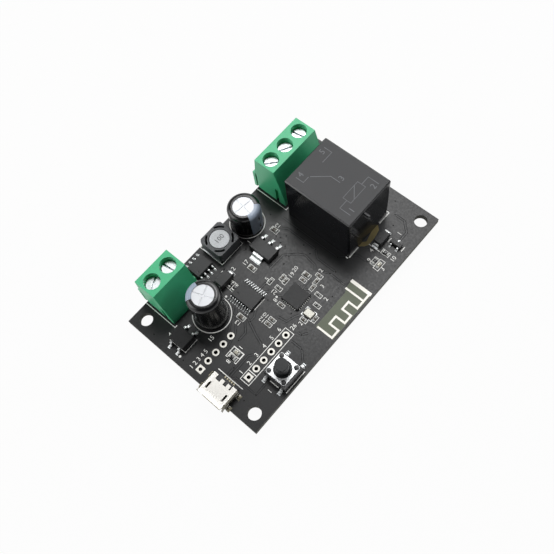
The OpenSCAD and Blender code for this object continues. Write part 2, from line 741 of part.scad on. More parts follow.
// A box of folded steel, open to the wire, that rises as its screw turns
module clamp_cage(i) color("#c9ced2") on_board(pole_points[i]) difference() {
    block([cage_w, cage_d, cage_h], cage_z);
    block([cage_w - 2 * cage_wall, cage_d + cut, cage_h - cage_floor - cage_nut], cage_z + cage_floor);
    translate([0, 0, cage_z + cage_floor + cut]) cylinder(d = screw_d + 2 * fit, h = cage_h);
}

// Bars that the wires are pressed against, each bent down to its solder pin
module terminal_contacts() color("#d8d3c4") for (p = pole_points) on_board(p) {
    bar_l = cage_d / 2 - cage_play - leg_y + bar_t / 2;
    translate([-bar_w / 2, leg_y - bar_t / 2, bar_z]) cube([bar_w, bar_l, bar_t]);
    translate([-bar_w / 2, leg_y - bar_t / 2, 0]) cube([bar_w, bar_t, bar_z]);
    translate([0, leg_y, 0]) block([terminal_pin_w, bar_t, below], -below);
}

// Relay

module relay_case() color("#2a2c2e") on_board(relay_at) difference() {
    union() {
        intersection() {
            linear_extrude(relay_h) rounded(relay_w, relay_l, case_corner);
            along_y(relay_l) bevelled_outline(relay_w, relay_h, case_bevel);
            along_x(relay_w) bevelled_outline(relay_l, relay_h, case_bevel);
        }
        translate([nib_at[0], -relay_l / 2 - nib_l / 2 + 0.2, nib_at[1]]) rotate([90, 0, 0])
            cylinder(d = nib_d, h = nib_l + 0.4, center = true);
    }
    block([case_in_w, case_in_l, case_in_top + cut], -cut);
}

// The blades that pass through the base, as flat shapes
module relay_blades() {
    for (sx = [-1, 1]) translate([sx * relay_pin_x, post_y]) square([post_w, post_t], center = true);
    for (sx = [-1, 1]) translate([sx * relay_pin_x, coil_pin_y]) square(coil_pin_w, center = true);
    translate([0, yoke_y]) square([relay_pin_w, post_t], center = true);
}

module relay_base() color("#1d1e20") on_board(relay_at) difference() {
    block([case_in_w, case_in_l, relay_base_t]);
    translate([0, 0, -cut]) linear_extrude(relay_base_t + 2 * cut) relay_blades();
}

module relay_yoke() color("#9a9d9f") on_board(relay_at) difference() {
    union() {
        translate([0, (yoke_y + coil_y - pole_d / 2) / 2, 0])
            block([yoke_w, yoke_y - coil_y + pole_d / 2, yoke_t], relay_base_t);
        translate([0, yoke_y, 0]) block([yoke_w, yoke_t, yoke_top - relay_base_t], relay_base_t);
    }
    translate([0, coil_y, 0]) cylinder(d = core_d, h = foot_z + cut);
}

module relay_core() color("#a7aaac") on_board(relay_at + [0, coil_y]) {
    translate([0, 0, relay_base_t]) cylinder(d = core_d, h = bobbin_top - relay_base_t);
    translate([0, 0, bobbin_top]) cylinder(d = pole_d, h = pole_t);
}

module relay_bobbin() color("#e9e4d6") on_board(relay_at + [0, coil_y]) {
    tube(core_d / 2 + bobbin_tube, core_d / 2, bobbin_top - foot_z, foot_z);
    for (z = [foot_z, bobbin_top - bobbin_flange]) tube(bobbin_d / 2, core_d / 2, bobbin_flange, z);
}

module relay_coil() color("#b5683a") on_board(relay_at + [0, coil_y])
    tube(bobbin_d / 2 - coil_margin, core_d / 2 + bobbin_tube, bobbin_top - foot_z - 2 * bobbin_flange,
        foot_z + bobbin_flange);

// Iron plate that tips on the yoke's edge
module relay_armature() color("#8f9294") on_board(relay_at) {
    end_y = coil_y - pole_d / 2 - armature_lip;
    translate([-yoke_w / 2, end_y, armature_z]) cube([yoke_w, yoke_y + yoke_t / 2 - end_y, armature_t]);
}

// Spring strip on the armature with the moving contact riveted through its end
module relay_contact_leaf() color("#c79a4b") on_board(relay_at) {
    leaf_l = yoke_y - contact_y + contact_d / 2;
    translate([-leaf_w / 2, contact_y - contact_d / 2 - 0.1, leaf_z]) cube([leaf_w, leaf_l, leaf_t]);
    translate([0, contact_y, rivet_bottom]) cylinder(d = contact_d, h = rivet_top - rivet_bottom);
}

// A post that rises from its pin and turns in over or under the moving contact
module contact_post(side, z, up) {
    reach = contact_y + contact_d / 2 - post_y + post_t / 2;
    translate([side * relay_pin_x, post_y, 0]) {
        block([post_w, post_t, z]);
        block([relay_pin_w, post_t, below], -below);
    }
    translate([side > 0 ? -contact_d / 2 : -relay_pin_x - post_w / 2, post_y - post_t / 2, z])
        cube([relay_pin_x + post_w / 2 + contact_d / 2, reach, post_t]);
    translate([0, contact_y, up ? z + post_t : z - contact_h]) cylinder(d = contact_d, h = contact_h);
}

module relay_contact_posts() color("#c9a35a") on_board(relay_at) {
    contact_post(-1, nc_z, false);
    contact_post(1, no_z, true);
}

module relay_pins() color("#cfd2d4") on_board(relay_at) {
    for (sx = [-1, 1]) translate([sx * relay_pin_x, coil_pin_y, 0])
        block([coil_pin_w, coil_pin_w, below + relay_base_t + coil_pin_top], -below);
    translate([0, yoke_y, 0]) block([relay_pin_w, post_t, below + relay_base_t], -below);
}

// Capacitors

// The can's half section: a cup, open below, with a round top edge
module can_section(r, h, round_r) {
    square([r, h - round_r]);
    square([r - round_r, h]);
    translate([r - round_r, h - round_r]) circle(round_r);
}

module capacitor_can(h) difference() {
    translate([0, 0, can_z]) rotate_extrude() can_section(can_r, h - 2 * sleeve_t, can_round);
    translate([0, 0, -cut]) cylinder(r = can_r - can_t, h = h - sleeve_t - can_t - vent_deep + cut);
    for (a = [0, 90]) rotate(a) block([2 * (can_r - sleeve_curl), vent_w, cut], h - sleeve_t - vent_deep);
}

module capacitor_cans() color("#e8eaec") for (c = cap_places) on_board(c[0]) rotate(c[2]) capacitor_can(c[1]);

// Sleeve that hugs the can and curls over its top and under its foot
module capacitor_sleeve(h) difference() {
    rotate_extrude() can_section(cap_d / 2, h, can_round + sleeve_t);
    translate([0, 0, can_z]) rotate_extrude() can_section(can_r, h - 2 * sleeve_t, can_round);
    translate([0, 0, h / 2]) cylinder(r = can_r - sleeve_curl, h = h);
    translate([0, 0, -cut]) cylinder(r = can_r - can_t, h = 2 * cut);
}

module capacitor_sleeves() color("#17181b") for (c = cap_places) on_board(c[0]) capacitor_sleeve(c[1]);

module capacitor_seals() color("#3a3733") for (c = cap_places) on_board(c[0]) difference() {
    translate([0, 0, can_z]) cylinder(r = can_r - can_t, h = seal_t);
    for (s = [-1, 1]) translate([0, s * cap_lead_pitch / 2, 0]) cylinder(d = cap_lead_d, h = seal_t + cut);
}

module capacitor_leads() color("#cfd2d4") for (l = cap_leads) on_board(l[0])
    translate([0, 0, -below]) cylinder(d = cap_lead_d, h = below + can_z + seal_t);

// Wound foil between the seal and the can's top
module capacitor_rolls() color("#b9a88c") for (c = cap_places) on_board(c[0])
    tube(can_r - can_t - 0.1, 0.5, c[1] - can_t - vent_deep - 2 * sleeve_t - seal_t - 0.4, can_z + seal_t);

// Inductor

// Square ferrite ring with cut corners, a round bore and a relief in each corner
module inductor_shield() color("#6d7073") on_board(inductor_at) difference() {
    h = inductor_h - inductor_pad_t;
    translate([0, 0, inductor_pad_t]) linear_extrude(h) difference() {
        square(shield_w, center = true);
        for (a = [45 : 90 : 315]) rotate(a)
            translate([(shield_w - shield_corner) / sqrt(2), -shield_w / 2]) square(shield_w);
    }
    translate([0, 0, inductor_pad_t - cut]) cylinder(d = drum_d + 2 * drum_gap, h = h + 2 * cut);
    for (a = [45 : 90 : 315]) rotate(a - relief_half) translate([0, 0, inductor_pad_t + drum_flange])
        rotate_extrude(angle = 2 * relief_half) translate([relief_r, 0]) square([relief_w, inductor_h]);
}

module inductor_core() color("#aeb1b3") on_board(inductor_at) {
    translate([0, 0, inductor_pad_t]) cylinder(d = drum_d, h = drum_flange);
    translate([0, 0, inductor_pad_t]) cylinder(d = drum_post_d, h = inductor_h - inductor_pad_t);
    translate([0, 0, inductor_h - drum_flange]) cylinder(d = drum_d, h = drum_flange);
}

module inductor_winding() color("#b5683a") on_board(inductor_at)
    tube(drum_d / 2 - winding_margin, drum_post_d / 2, inductor_h - inductor_pad_t - 2 * drum_flange,
        inductor_pad_t + drum_flange);

module inductor_terminals() color("#cfd2d4") on_board(inductor_at)
    for (s = [-1, 1]) translate([s * (shield_w - inductor_pad_w) / 2, 0, 0])
        block([inductor_pad_w, shield_w - 2 * shield_corner, inductor_pad_t]);

// Chip packages

module buck_converter() color("#3b3c3e") on_board(buck_at, buck_turn) moulded(buck_body, 0.5);

module microcontroller() color("#424345") on_board(mcu_at) moulded(mcu_body, 0.6);

module voltage_regulator() color("#3f3f3c") on_board(regulator_at) moulded(regulator_body);

module bridge_rectifier() color("#26272a") on_board(bridge_at) moulded(bridge_body);

module driver_transistor() color("#3a3b3d") on_board(transistor_at) moulded(transistor_body);

// Pads along one edge of the radio chip, flush with its underside and just proud of its side
module radio_edge_pads(proud) for (a = [0 : 90 : 270], i = [0 : radio_pads[0] - 1]) rotate(a)
    translate([(radio_w - radio_pad_l + proud) / 2, (i - (radio_pads[0] - 1) / 2) * radio_pads[1], 0])
        block([radio_pad_l + proud, radio_pads[2], radio_pad_t]);

module radio_chip() color("#333638") on_board(radio_at) difference() {
    block([radio_w, radio_w, radio_h]);
    radio_edge_pads(cut);
}

module radio_chip_pads() color("#d5d2c6") on_board(radio_at) radio_edge_pads(0.02);

module regulator_tab() {
    leads = [1, 0, regulator_tab_w, regulator_leads[3]];
    rotate(180) lead_row(regulator_body, leads);
}

module chip_leads() color("#d9dcde") {
    for (turn = [0, 180]) {
        on_board(buck_at, buck_turn + turn) lead_row(buck_body, buck_leads);
        on_board(mcu_at, turn) lead_row(mcu_body, mcu_leads);
        on_board(bridge_at, turn) lead_row(bridge_body, bridge_leads);
    }
    on_board(regulator_at) {
        lead_row(regulator_body, regulator_leads);
        regulator_tab();
    }
    on_board(transistor_at, 180) lead_row(transistor_body, transistor_leads);
    on_board(transistor_at) lead_row(transistor_body, [1, 0, transistor_leads[2], transistor_leads[3]]);
}

module power_diodes() color("#2c2d2f") for (d = diode_places) on_board(d[0]) moulded(d[1]);

// Terminals that leave a diode's ends at its middle height and fold down and under
module diode_terminals() color("#d9dcde") for (d = diode_places, turn = [0, 180]) on_board(d[0], turn)
    translate([d[1][0] / 2, 0, 0]) along_y(diode_terminal_w) polygon([
        [0, chip_lift + d[1][2] / 2 + lead_t / 2], [diode_terminal_out, chip_lift + d[1][2] / 2 + lead_t / 2],
        [diode_terminal_out, 0], [-0.8, 0], [-0.8, chip_lift], [diode_terminal_out - lead_t, chip_lift],
        [diode_terminal_out - lead_t, chip_lift + d[1][2] / 2 - lead_t / 2],
        [0, chip_lift + d[1][2] / 2 - lead_t / 2]]);

module crystal_base() color("#5b5850") on_board(crystal_at)
    block([crystal_w, crystal_l, crystal_h - crystal_lid_t]);

module crystal_lid() color("#e6e4da") on_board(crystal_at)
    block([crystal_w - 2 * crystal_rim, crystal_l - 2 * crystal_rim, crystal_lid_t],
        crystal_h - crystal_lid_t);

// Chip resistors, capacitors and LEDs

function chip_size(c) = c[2] ? chip_small : chip_large;
function chip_turn(c) = c[1] ? 90 : 0;

// The bare middle of a chip between its end caps
module chip_middle(c) {
    s = chip_size(c);
    on_board(c[0], chip_turn(c)) block([s[0] * (1 - 2 * cap_share), s[1], s[2]]);
}

module chip_resistors() color("#242526") for (c = resistor_places) chip_middle(c);

module chip_capacitors() color("#b6a27f") for (c = capacitor_places) chip_middle(c);

module chip_end_caps() color("#dcdedf") {
    for (c = chip_places, s = [-1, 1]) on_board(c[0], chip_turn(c)) {
        size = chip_size(c);
        translate([s * size[0] * (1 - cap_share) / 2, 0, 0]) block([size[0] * cap_share, size[1], size[2]]);
    }
    for (l = led_places, s = [-1, 1]) on_board(l[0], chip_turn(l))
        translate([s * chip_large[0] * (1 - cap_share) / 2, 0, 0])
            block([chip_large[0] * cap_share, chip_large[1], copper_t], led_base_t);
}

module led_bases() color("#efe9da") for (l = led_places) on_board(l[0], chip_turn(l))
    block([chip_large[0], chip_large[1], led_base_t]);

module led_lenses() color("#f3f1e4") for (l = led_places) on_board(l[0], chip_turn(l))
    translate([0, 0, led_base_t]) along_y(chip_large[1])
        bevelled_outline(chip_large[0] * (1 - 2 * cap_share), chip_large[2] + copper_t - led_base_t, 0.08);

// Push switch

module rivet_places() for (sx = [-1, 1], sy = [-1, 1])
    translate([sx * rivet_out, sy * rivet_out, 0]) children();

module switch_base() color("#1c1d1f") on_board(switch_at) difference() {
    union() {
        block([switch_w, switch_w, switch_base_h]);
        rivet_places() cylinder(d = rivet_d, h = switch_base_h + cover_t + rivet_h);
    }
    translate([0, 0, switch_floor]) cylinder(r = well_r, h = switch_base_h);
}

module switch_cover() color("#e3e5e6") on_board(switch_at)
    translate([0, 0, switch_base_h]) linear_extrude(cover_t) difference() {
        rounded(cover_w, cover_w, cover_w / 2 - rivet_out);
        circle(d = cover_hole_d);
        rivet_places() circle(d = rivet_d);
    }

module switch_button() color("#3f474a") on_board(switch_at) {
    translate([0, 0, flange_z]) cylinder(d = button_d, h = button_h - flange_z);
    translate([0, 0, flange_z]) cylinder(d = flange_d, h = flange_t);
    translate([0, 0, dome_top + seat_gap]) cylinder(d = button_tip_d, h = flange_z - dome_top - seat_gap);
}

// Thin sprung dome under the button
module switch_dome() color("#d6d8da") on_board(switch_at) translate([0, 0, dome_z]) rotate_extrude() {
    radii = [for (i = [0 : dome_steps]) dome_d / 2 * i / dome_steps];
    polygon(concat(
        [for (x = radii) [x, dome_height(x) + dome_t]],
        [for (i = [dome_steps : -1 : 0]) [radii[i], dome_height(radii[i])]]));
}

module switch_legs() color("#cfd2d4") on_board(switch_at) for (turn = [0, 180], s = [-1, 1]) rotate(turn)
    translate([switch_w / 2, s * switch_leg_pitch / 2, 0])
        gull_lead(switch_leg_w, switch_leg_reach - switch_w / 2, switch_floor);

// USB socket

// Places its children at the shell's mouth on the board, with +X into the socket
module at_usb() on_board([usb_x, usb_y]) children();

// The shell's outline, set in by a wall
module usb_outline(inset) {
    w = usb_w / 2 - inset;
    top = usb_h - inset;
    low = [usb_low_cut[0] - inset / 2, usb_low_cut[1] - inset / 2];
    high = usb_top_cut - inset / 2;
    polygon([[-w + low[0], inset], [w - low[0], inset], [w, inset + low[1]], [w, top - high], [w - high, top],
        [-w + high, top], [-w, top - high], [-w, inset + low[1]]]);
}

// A lip that flares from the mouth, drawn from the shell's inner face outwards
module usb_lip_outline(rise) polygon([
    [usb_wall, 0], [0, 0], [-usb_lip, rise],
    [-usb_lip, rise + usb_wall], [0, usb_wall], [usb_wall, usb_wall]]);

module usb_shell() color("#e9e6dd") at_usb() {
    side_z = usb_low_cut[1];
    side_h = usb_h - usb_top_cut - side_z;
    difference() {
        translate([usb_l / 2, 0, 0]) along_x(usb_l) usb_outline(0);
        translate([usb_l / 2, 0, 0]) along_x(usb_l + 2 * cut) usb_outline(usb_wall);
        for (s = [-1, 1]) translate([usb_l / 2 - 0.6, s * usb_slot[2], 0])
            block([usb_slot[0], usb_slot[1], usb_h], usb_h / 2);
        difference() {
            translate([usb_l, 0, 0]) block([2 * usb_window[0], usb_window[1], usb_h], usb_h / 2);
            for (y = usb_fingers) translate([usb_l - usb_window[0] + usb_finger[0] - cut, y, 0])
                block([2 * cut, usb_finger[1], usb_h], usb_h / 2);
        }
    }
    translate([0, 0, usb_h - usb_wall]) along_y(usb_w - 2 * usb_top_cut) usb_lip_outline(usb_lip_rise);
    translate([0, 0, usb_wall]) mirror([0, 0, 1]) along_y(usb_w - 2 * usb_low_cut[0])
        usb_lip_outline(usb_lip_rise);
    for (s = [0, 1]) mirror([0, s, 0]) translate([0, usb_w / 2 - usb_wall, 0]) {
        translate([0, 0, side_z]) linear_extrude(side_h) usb_lip_outline(usb_side_rise);
        for (x = usb_tabs) translate([x - usb_tab[0] / 2, usb_wall / 2, 0]) {
            cube([usb_tab[0], usb_wall, usb_tab[1]]);
            cube([usb_tab[0], usb_wall + usb_tab[2], usb_wall]);
        }
    }
}

// Moulded block at the back of the shell with the tongue that carries the contacts
module usb_insulator() color("#1f2022") at_usb() difference() {
    back_l = insulator_l + insulator_out;
    union() {
        translate([usb_l + insulator_out - back_l / 2, 0, 0]) along_x(back_l) usb_outline(usb_wall);
        translate([usb_l - insulator_l - tongue_l / 2, 0, 0])
            block([tongue_l + seat_gap, tongue_w, tongue_t], tongue_z);
    }
    usb_contact_strips();
}

// Five strips under the tongue, each bent down behind the socket to its solder foot
module usb_contact_strips() for (i = [-2 : 2]) translate([0, i * usb_pitch, 0]) along_y(usb_contact_w) {
    tip = usb_l - insulator_l - tongue_l + 0.3;
    back = usb_l + insulator_out;
    polygon([
        [tip, tongue_z], [back, tongue_z], [back, lead_t], [usb_l + usb_tail, lead_t], [usb_l + usb_tail, 0],
        [back - lead_t, 0], [back - lead_t, tongue_z - lead_t], [tip, tongue_z - lead_t]]);
}

module usb_contacts() color("#e8dfc0") at_usb() usb_contact_strips();

circuit_board();
plated_copper();
solder_joints();
terminal_housing_two_way();
terminal_housing_three_way();
terminal_screw(0);  // terminal_screw_1
terminal_screw(1);  // terminal_screw_2
terminal_screw(2);  // terminal_screw_3
terminal_screw(3);  // terminal_screw_4
terminal_screw(4);  // terminal_screw_5
clamp_cage(0);  // clamp_cage_1
clamp_cage(1);  // clamp_cage_2
clamp_cage(2);  // clamp_cage_3
clamp_cage(3);  // clamp_cage_4
clamp_cage(4);  // clamp_cage_5
terminal_contacts();
relay_case();
relay_base();
relay_yoke();
relay_core();
relay_bobbin();
relay_coil();
relay_armature();
relay_contact_leaf();
relay_contact_posts();
relay_pins();
capacitor_cans();
capacitor_sleeves();
capacitor_seals();
capacitor_leads();
capacitor_rolls();
inductor_shield();
inductor_core();
inductor_winding();
inductor_terminals();
buck_converter();
microcontroller();
radio_chip();
voltage_regulator();
bridge_rectifier();
power_diodes();
driver_transistor();
chip_leads();
diode_terminals();
radio_chip_pads();
crystal_base();
crystal_lid();
chip_resistors();
chip_capacitors();
chip_end_caps();
led_bases();
led_lenses();
switch_base();
switch_cover();
switch_button();
switch_dome();
switch_legs();
usb_shell();
usb_insulator();
usb_contacts();
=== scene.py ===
"""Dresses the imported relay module: finishes, board print, pads and solder, rounded edges, light and camera."""
import json
import math
from collections import namedtuple

import bmesh
import bpy
from bpy.props import FloatProperty, FloatVectorProperty, PointerProperty
from mathutils import Euler, Matrix, Vector


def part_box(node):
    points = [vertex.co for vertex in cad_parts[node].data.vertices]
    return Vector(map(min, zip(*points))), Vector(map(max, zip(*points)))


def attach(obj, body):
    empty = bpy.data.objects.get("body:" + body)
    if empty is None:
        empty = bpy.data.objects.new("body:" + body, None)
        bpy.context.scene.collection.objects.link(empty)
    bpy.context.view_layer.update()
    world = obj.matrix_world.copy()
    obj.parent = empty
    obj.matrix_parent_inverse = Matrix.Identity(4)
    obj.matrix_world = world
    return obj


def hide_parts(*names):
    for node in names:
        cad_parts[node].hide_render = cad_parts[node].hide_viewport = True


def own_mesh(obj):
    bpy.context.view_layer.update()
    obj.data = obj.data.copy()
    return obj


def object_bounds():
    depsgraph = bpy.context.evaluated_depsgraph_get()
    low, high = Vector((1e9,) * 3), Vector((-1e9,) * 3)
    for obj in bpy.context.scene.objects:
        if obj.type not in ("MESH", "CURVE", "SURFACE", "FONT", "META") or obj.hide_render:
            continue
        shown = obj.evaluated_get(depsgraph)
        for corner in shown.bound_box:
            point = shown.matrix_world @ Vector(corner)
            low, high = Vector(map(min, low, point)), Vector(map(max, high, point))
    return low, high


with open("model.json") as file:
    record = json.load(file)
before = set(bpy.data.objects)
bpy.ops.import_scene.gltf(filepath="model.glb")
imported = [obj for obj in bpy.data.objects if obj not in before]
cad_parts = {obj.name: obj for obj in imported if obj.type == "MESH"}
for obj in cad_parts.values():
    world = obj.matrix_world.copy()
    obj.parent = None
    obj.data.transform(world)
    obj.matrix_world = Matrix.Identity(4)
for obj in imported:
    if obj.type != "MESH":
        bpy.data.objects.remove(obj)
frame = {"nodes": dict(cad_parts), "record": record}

bl_info = {
    "name": "Relay module",
    "version": (1, 0, 0),
    "blender": (4, 5, 0),
    "location": "View3D > Sidebar > Relay module",
    "description": "Builds the finished look of a small relay board on its packed frame",
    "category": "Object",
}

MM = 0.001
WELD = 2e-7  # points nearer than this are one point, in metres
CAD_BOX = [list(corner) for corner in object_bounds()]
BOARD_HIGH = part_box("circuit_board")[1]
TOP = BOARD_HIGH.z
SLOT_OF = {part["node"]: part["material_slot"] for part in frame["record"]["subparts"]}
BODY_OF = {node: body for body, nodes in frame["record"]["behaviour"]["bodies"].items() for node in nodes}
MOUNT = {mount["name"]: Vector(mount["pos_m"]) / MM for mount in frame["record"]["mounts"]}
HOLES = next(mount["dims"] for mount in frame["record"]["mounts"] if mount["name"] == "mounting_holes")
POLES = range(1, 6)

# Where the printed lines run on the board, in millimetres from its middle
PRINTED_LINES = [
    [(-27.1, 19.9), (-27.1, 10.33), (-26.45, 10.33)],
    [(12.25, 19.8), (12.25, 10.28), (28.6, 10.28), (28.6, 19.8)],
    [(-23.6, -9.45), (-23.6, -12.0)],
    [(11.5, -9.0), (11.5, -9.62)],
    [(27.1, -9.62), (27.1, 9.3)],
    [(-12.2, -1.1), (-8.7, -1.1)],
    [(-29.9, 9.2), (-29.85, 4.27), (-25.9, 4.3)],
    [(-22.2, -19.45), (-15.9, -19.45)],
    [(-22.4, -14.9), (-22.4, -17.4)],
    [(-15.9, -14.9), (-15.9, -17.4)],
    [(-27.75, -4.1), (-27.75, -11.5)],
    [(-14.5, 13.2), (-15.3, 13.2), (-15.3, 18.9), (-14.5, 18.9)],
    [(-14.2, 10.9), (-14.2, 7.55)],
    [(17.5, -11.2), (17.5, -14.3)],
    [(20.7, -18.2), (22.1, -18.2)],
    [(20.7, -14.3), (22.1, -14.3)],
]
PRINTED_BOXES = [
    (-26.29, -12.0, -10.9, -9.45), (-8.5, 12.55, -1.2, 19.85), (-24.46, -6.4, -21.6, -3.35),
    (11.95, -9.8, 15.2, -9.68), (23.5, -9.8, 27.1, -9.68),
]
PRINTED_BOXES_BELOW = [(-26.29, -12.0, -10.9, -9.45), (-31.8, -2.4, -18.9, 0.3), (11.5, -9.62, 27.1, 9.3)]
# Dots by the first leads: middle and radius
PRINTED_DOTS = [(-6.5, -2.95, 0.28), (-13.9, 6.3, 0.28), (-15.5, 19.3, 0.28), (-31.3, 4.6, 0.3)]
# Radii of the rings round the two capacitors, from -X
CAN_RINGS = (4.6, 4.35)
# How far a printed box stands off a chip's ends and sides, and the length up to which a chip counts as small
CHIP_MARGINS = (0.62, 0.28)
SMALL_CHIP_MARGINS = (0.6, 0.2)
SMALL_CHIP = 0.9
# The numbers below the board: header rows with their holes and how far the numbers stand off, the holes' pitch, and
# the line of the poles' numbers
HEADER_ROWS = [("header_row_six", 6, -2.5), ("header_row_five", 5, 2.49)]
HEADER_PITCH = 2.54
POLE_MARKS_Y = 10.6
# Plain numbers on the board: the number, its middle and its turn in degrees
NUMBERS = [
    ("15", -23.7, 1.95, 0), ("1 2 3 4 5", -29.0, 0.85, 0), ("1", -25.06, -8.65, 0), ("2", -22.36, -8.65, 0),
    ("3", -19.9, -8.65, 0), ("4", -17.25, -8.65, 0), ("5", -14.7, -8.65, 0), ("6", -12.15, -8.65, 0),
    ("26", -9.6, -10.77, 0), ("1", -24.2, -16.4, 0), ("8", -25.1, -4.76, 0), ("1", -20.9, -4.79, 0),
    ("13", -16.9, -0.2, 90), ("10", -11.47, -4.0, 90), ("12", -12.8, -4.0, 90), ("8", -7.32, -3.3, 0),
    ("5", -14.7, 6.4, 0), ("2", -7.6, 9.75, 0), ("17", -4.6, 8.5, 0), ("1", 0.0, 11.5, 0),
    ("12", 7.7, 9.0, 90), ("2", 5.1, -6.7, 0), ("3", 2.25, -9.5, 0), ("2", 0.3, -12.2, 0),
    ("2", -7.9, -11.5, 0), ("4", -29.0, 10.0, 0), ("20", 1.6, -1.75, 0), ("19", -0.1, -2.05, 0),
    ("5", -4.5, 1.75, 0), ("21", -5.9, -1.6, 90), ("4", 16.6, -12.65, 0), ("9", 14.3, -13.8, 0),
    ("1", 24.2, -15.1, 0), ("10", 18.0, -18.0, 0), ("3", 14.4, -17.6, 0), ("3", -9.9, 10.95, 0),
]
# The wiring sign on the relay's top: its lines, the coil's box and plain pin numbers
CASE_LINES = [
    [(14.2, -7.9), (14.2, -5.0), (16.6, -5.0)], [(24.2, -7.9), (24.2, -5.0), (21.8, -5.0)],
    [(17.8, -6.1), (20.6, -3.9)], [(19.2, -1.0), (19.2, 1.6), (16.3, 5.2)],
    [(14.2, 7.6), (14.2, 5.4), (16.0, 5.4)], [(24.2, 7.6), (24.2, 5.4), (20.9, 5.4)],
]
CASE_BOX = (16.6, -6.1, 21.8, -3.9)
CASE_NUMBERS = [("1", 15.4, -7.4, 0), ("2", 23.0, -7.4, 0), ("3", 20.3, -0.6, 0), ("4", 15.4, 7.2, 0),
                ("5", 23.0, 7.2, 0)]
# Copper tracks that show as low ridges under the coating
TRACKS = [
    [(-2.0, 3.05), (2.54, 2.91), (4.98, 0.29), (5.83, -1.18), (5.32, -4.69), (4.33, -5.51)],
    [(5.07, -7.03), (5.85, -8.81), (5.7, -13.85), (7.3, -13.85)],
    [(-14.94, -2.17), (-13.4, -2.17), (-12.4, -1.5), (-11.03, -1.3)],
    [(-9.94, -6.36), (-9.62, -8.66), (-7.46, -9.38), (-6.5, -9.9)],
    [(-14.6, 5.2), (-16.2, 3.6), (-16.2, 1.2), (-15.5, 0.95)],
    [(-14.4, 3.3), (-18.4, 0.9), (-20.3, -0.3)], [(-14.4, 2.65), (-19.0, -1.4), (-22.85, -2.4), (-22.85, -3.2)],
    [(-14.4, 0.05), (-17.6, -3.2), (-19.9, -3.2)], [(-14.4, -0.6), (-16.6, -5.6), (-17.25, -7.6)],
    [(-7.2, 0.05), (-6.2, -0.9), (-6.2, -2.9), (-5.4, -3.6)], [(-7.2, 1.35), (-5.6, 1.35), (-5.0, 0.85)],
    [(-27.6, -6.7), (-25.4, -6.7), (-24.6, -6.0)], [(-27.6, -7.35), (-24.2, -7.35), (-21.2, -7.35), (-20.4, -8.0)],
    [(-27.6, -8.0), (-26.8, -8.6), (-26.8, -14.6), (-23.6, -14.6)],
    [(-0.9, -6.9), (-0.1, -7.7)], [(-0.9, -6.2), (1.6, -6.2), (2.1, -5.8)],
    [(7.2, 8.1), (8.6, 6.7), (8.6, -2.2), (7.0, -4.0), (7.0, -9.6)],
    [(10.2, 9.5), (10.2, -7.5), (13.6, -10.9), (13.6, -13.6)],
    [(18.05, -14.6), (18.05, -13.6), (16.2, -11.8)], [(22.9, -16.25), (25.4, -16.25), (27.6, -14.0), (27.6, -11.2)],
    [(-12.4, -12.6), (-12.4, -15.6), (-14.4, -17.6)], [(-9.9, -12.4), (-9.9, -13.4), (-8.6, -14.3)],
]
# Small plated holes under the coating
VIAS = [
    (8.05, -13.5), (4.71, 5.49), (4.59, 4.04), (5.29, 7.44), (7.65, 0.75), (6.82, -1.89), (5.6, 6.4), (6.9, 5.6),
    (8.6, -2.2), (-16.3, 6.9), (-16.9, 9.6), (-14.9, -2.2), (-20.0, -3.2), (-7.4, -8.2), (-8.4, -1.9), (0.9, 1.2),
    (3.2, 1.6), (9.9, 4.6), (10.2, -7.5), (7.0, -9.6), (5.85, -8.81), (13.6, -13.6), (27.6, -11.2), (25.0, -12.6),
    (-26.8, -14.6), (-9.1, 11.4), (-16.6, 12.1), (-9.9, 14.0), (8.9, 12.4), (9.4, 17.3), (-1.9, 10.9),
    (-12.4, -15.6), (-9.9, -13.4), (-29.4, -13.4), (-31.5, 3.4), (-31.4, 13.0), (30.6, -9.0), (30.8, 3.0),
    (29.6, 9.0), (-25.4, -6.7), (1.7, -12.9),
]
# Bores as shares of a ring's radius: round small holes, round soldered pins, and too small to be seen
HOLE_BORE = 0.5
PIN_BORE = 0.6
NO_BORE = 0.02
# Areas that look paler: no copper by the antenna, and an amber patch by the relay whose inner edge is cut back to
# leave a dark wedge at the relay's foot
ANTENNA_FIELD = [(-6.3, -19.62), (8.05, -19.62), (8.05, -13.75), (5.5, -13.95), (4.4, -14.55), (-6.3, -14.55)]
BARE_PATCH = [(15.26, -9.3), (16.34, -10.69), (17.26, -11.24), (19.64, -11.2), (21.85, -10.77), (22.73, -9.87),
              (22.84, -9.3), (20.31, -9.65), (17.69, -10.27), (16.61, -9.3)]
# Pads under leads, in millimetres: the leads' node, what they belong to, the pad's length if not the lead's own, its
# reach past the lead and extra width, the run and rise of the solder on the lead, and the pieces that hold them
LeadPads = namedtuple("LeadPads", "leads owners length reach extra run rise pads solder")
LEAD_PADS = [
    LeadPads("chip_end_caps", ("chip_resistors", "chip_capacitors", "led_bases"), None, 0.1, 0.0, 0.1, 0.22,
             "chip_pads", "solder_fillets"),
    LeadPads("chip_leads", ("buck_converter", "microcontroller", "voltage_regulator", "bridge_rectifier",
                            "driver_transistor"), 0.7, 0.2, 0.06, 0.16, 0.12, "tinned_pads", "solder_fillets"),
    LeadPads("diode_terminals", ("power_diodes",), None, 0.45, 0.3, 0.4, 0.6, "tinned_pads", "solder_fillets"),
    LeadPads("switch_legs", ("switch_base",), 0.9, 0.3, 0.2, 0.35, 0.28, "tinned_pads", "solder_fillets"),
    LeadPads("inductor_terminals", ("inductor_shield",), None, 0.25, 0.1, 0.15, 0.3, "tinned_pads", "solder_fillets"),
    LeadPads("radio_chip_pads", ("radio_chip",), None, 0.22, 0.0, 0.2, 0.3, "radio_pads", "radio_fillets"),
    LeadPads("usb_contacts", ("usb_shell",), 0.9, 0.05, 0.0, 0.05, 0.1, "tinned_pads", "solder_fillets"),
]
FILLET_SINK = 0.01 * MM  # how far the solder reaches into the lead
FILLET_WIDTH = 0.9  # the solder's width as a share of its pad's
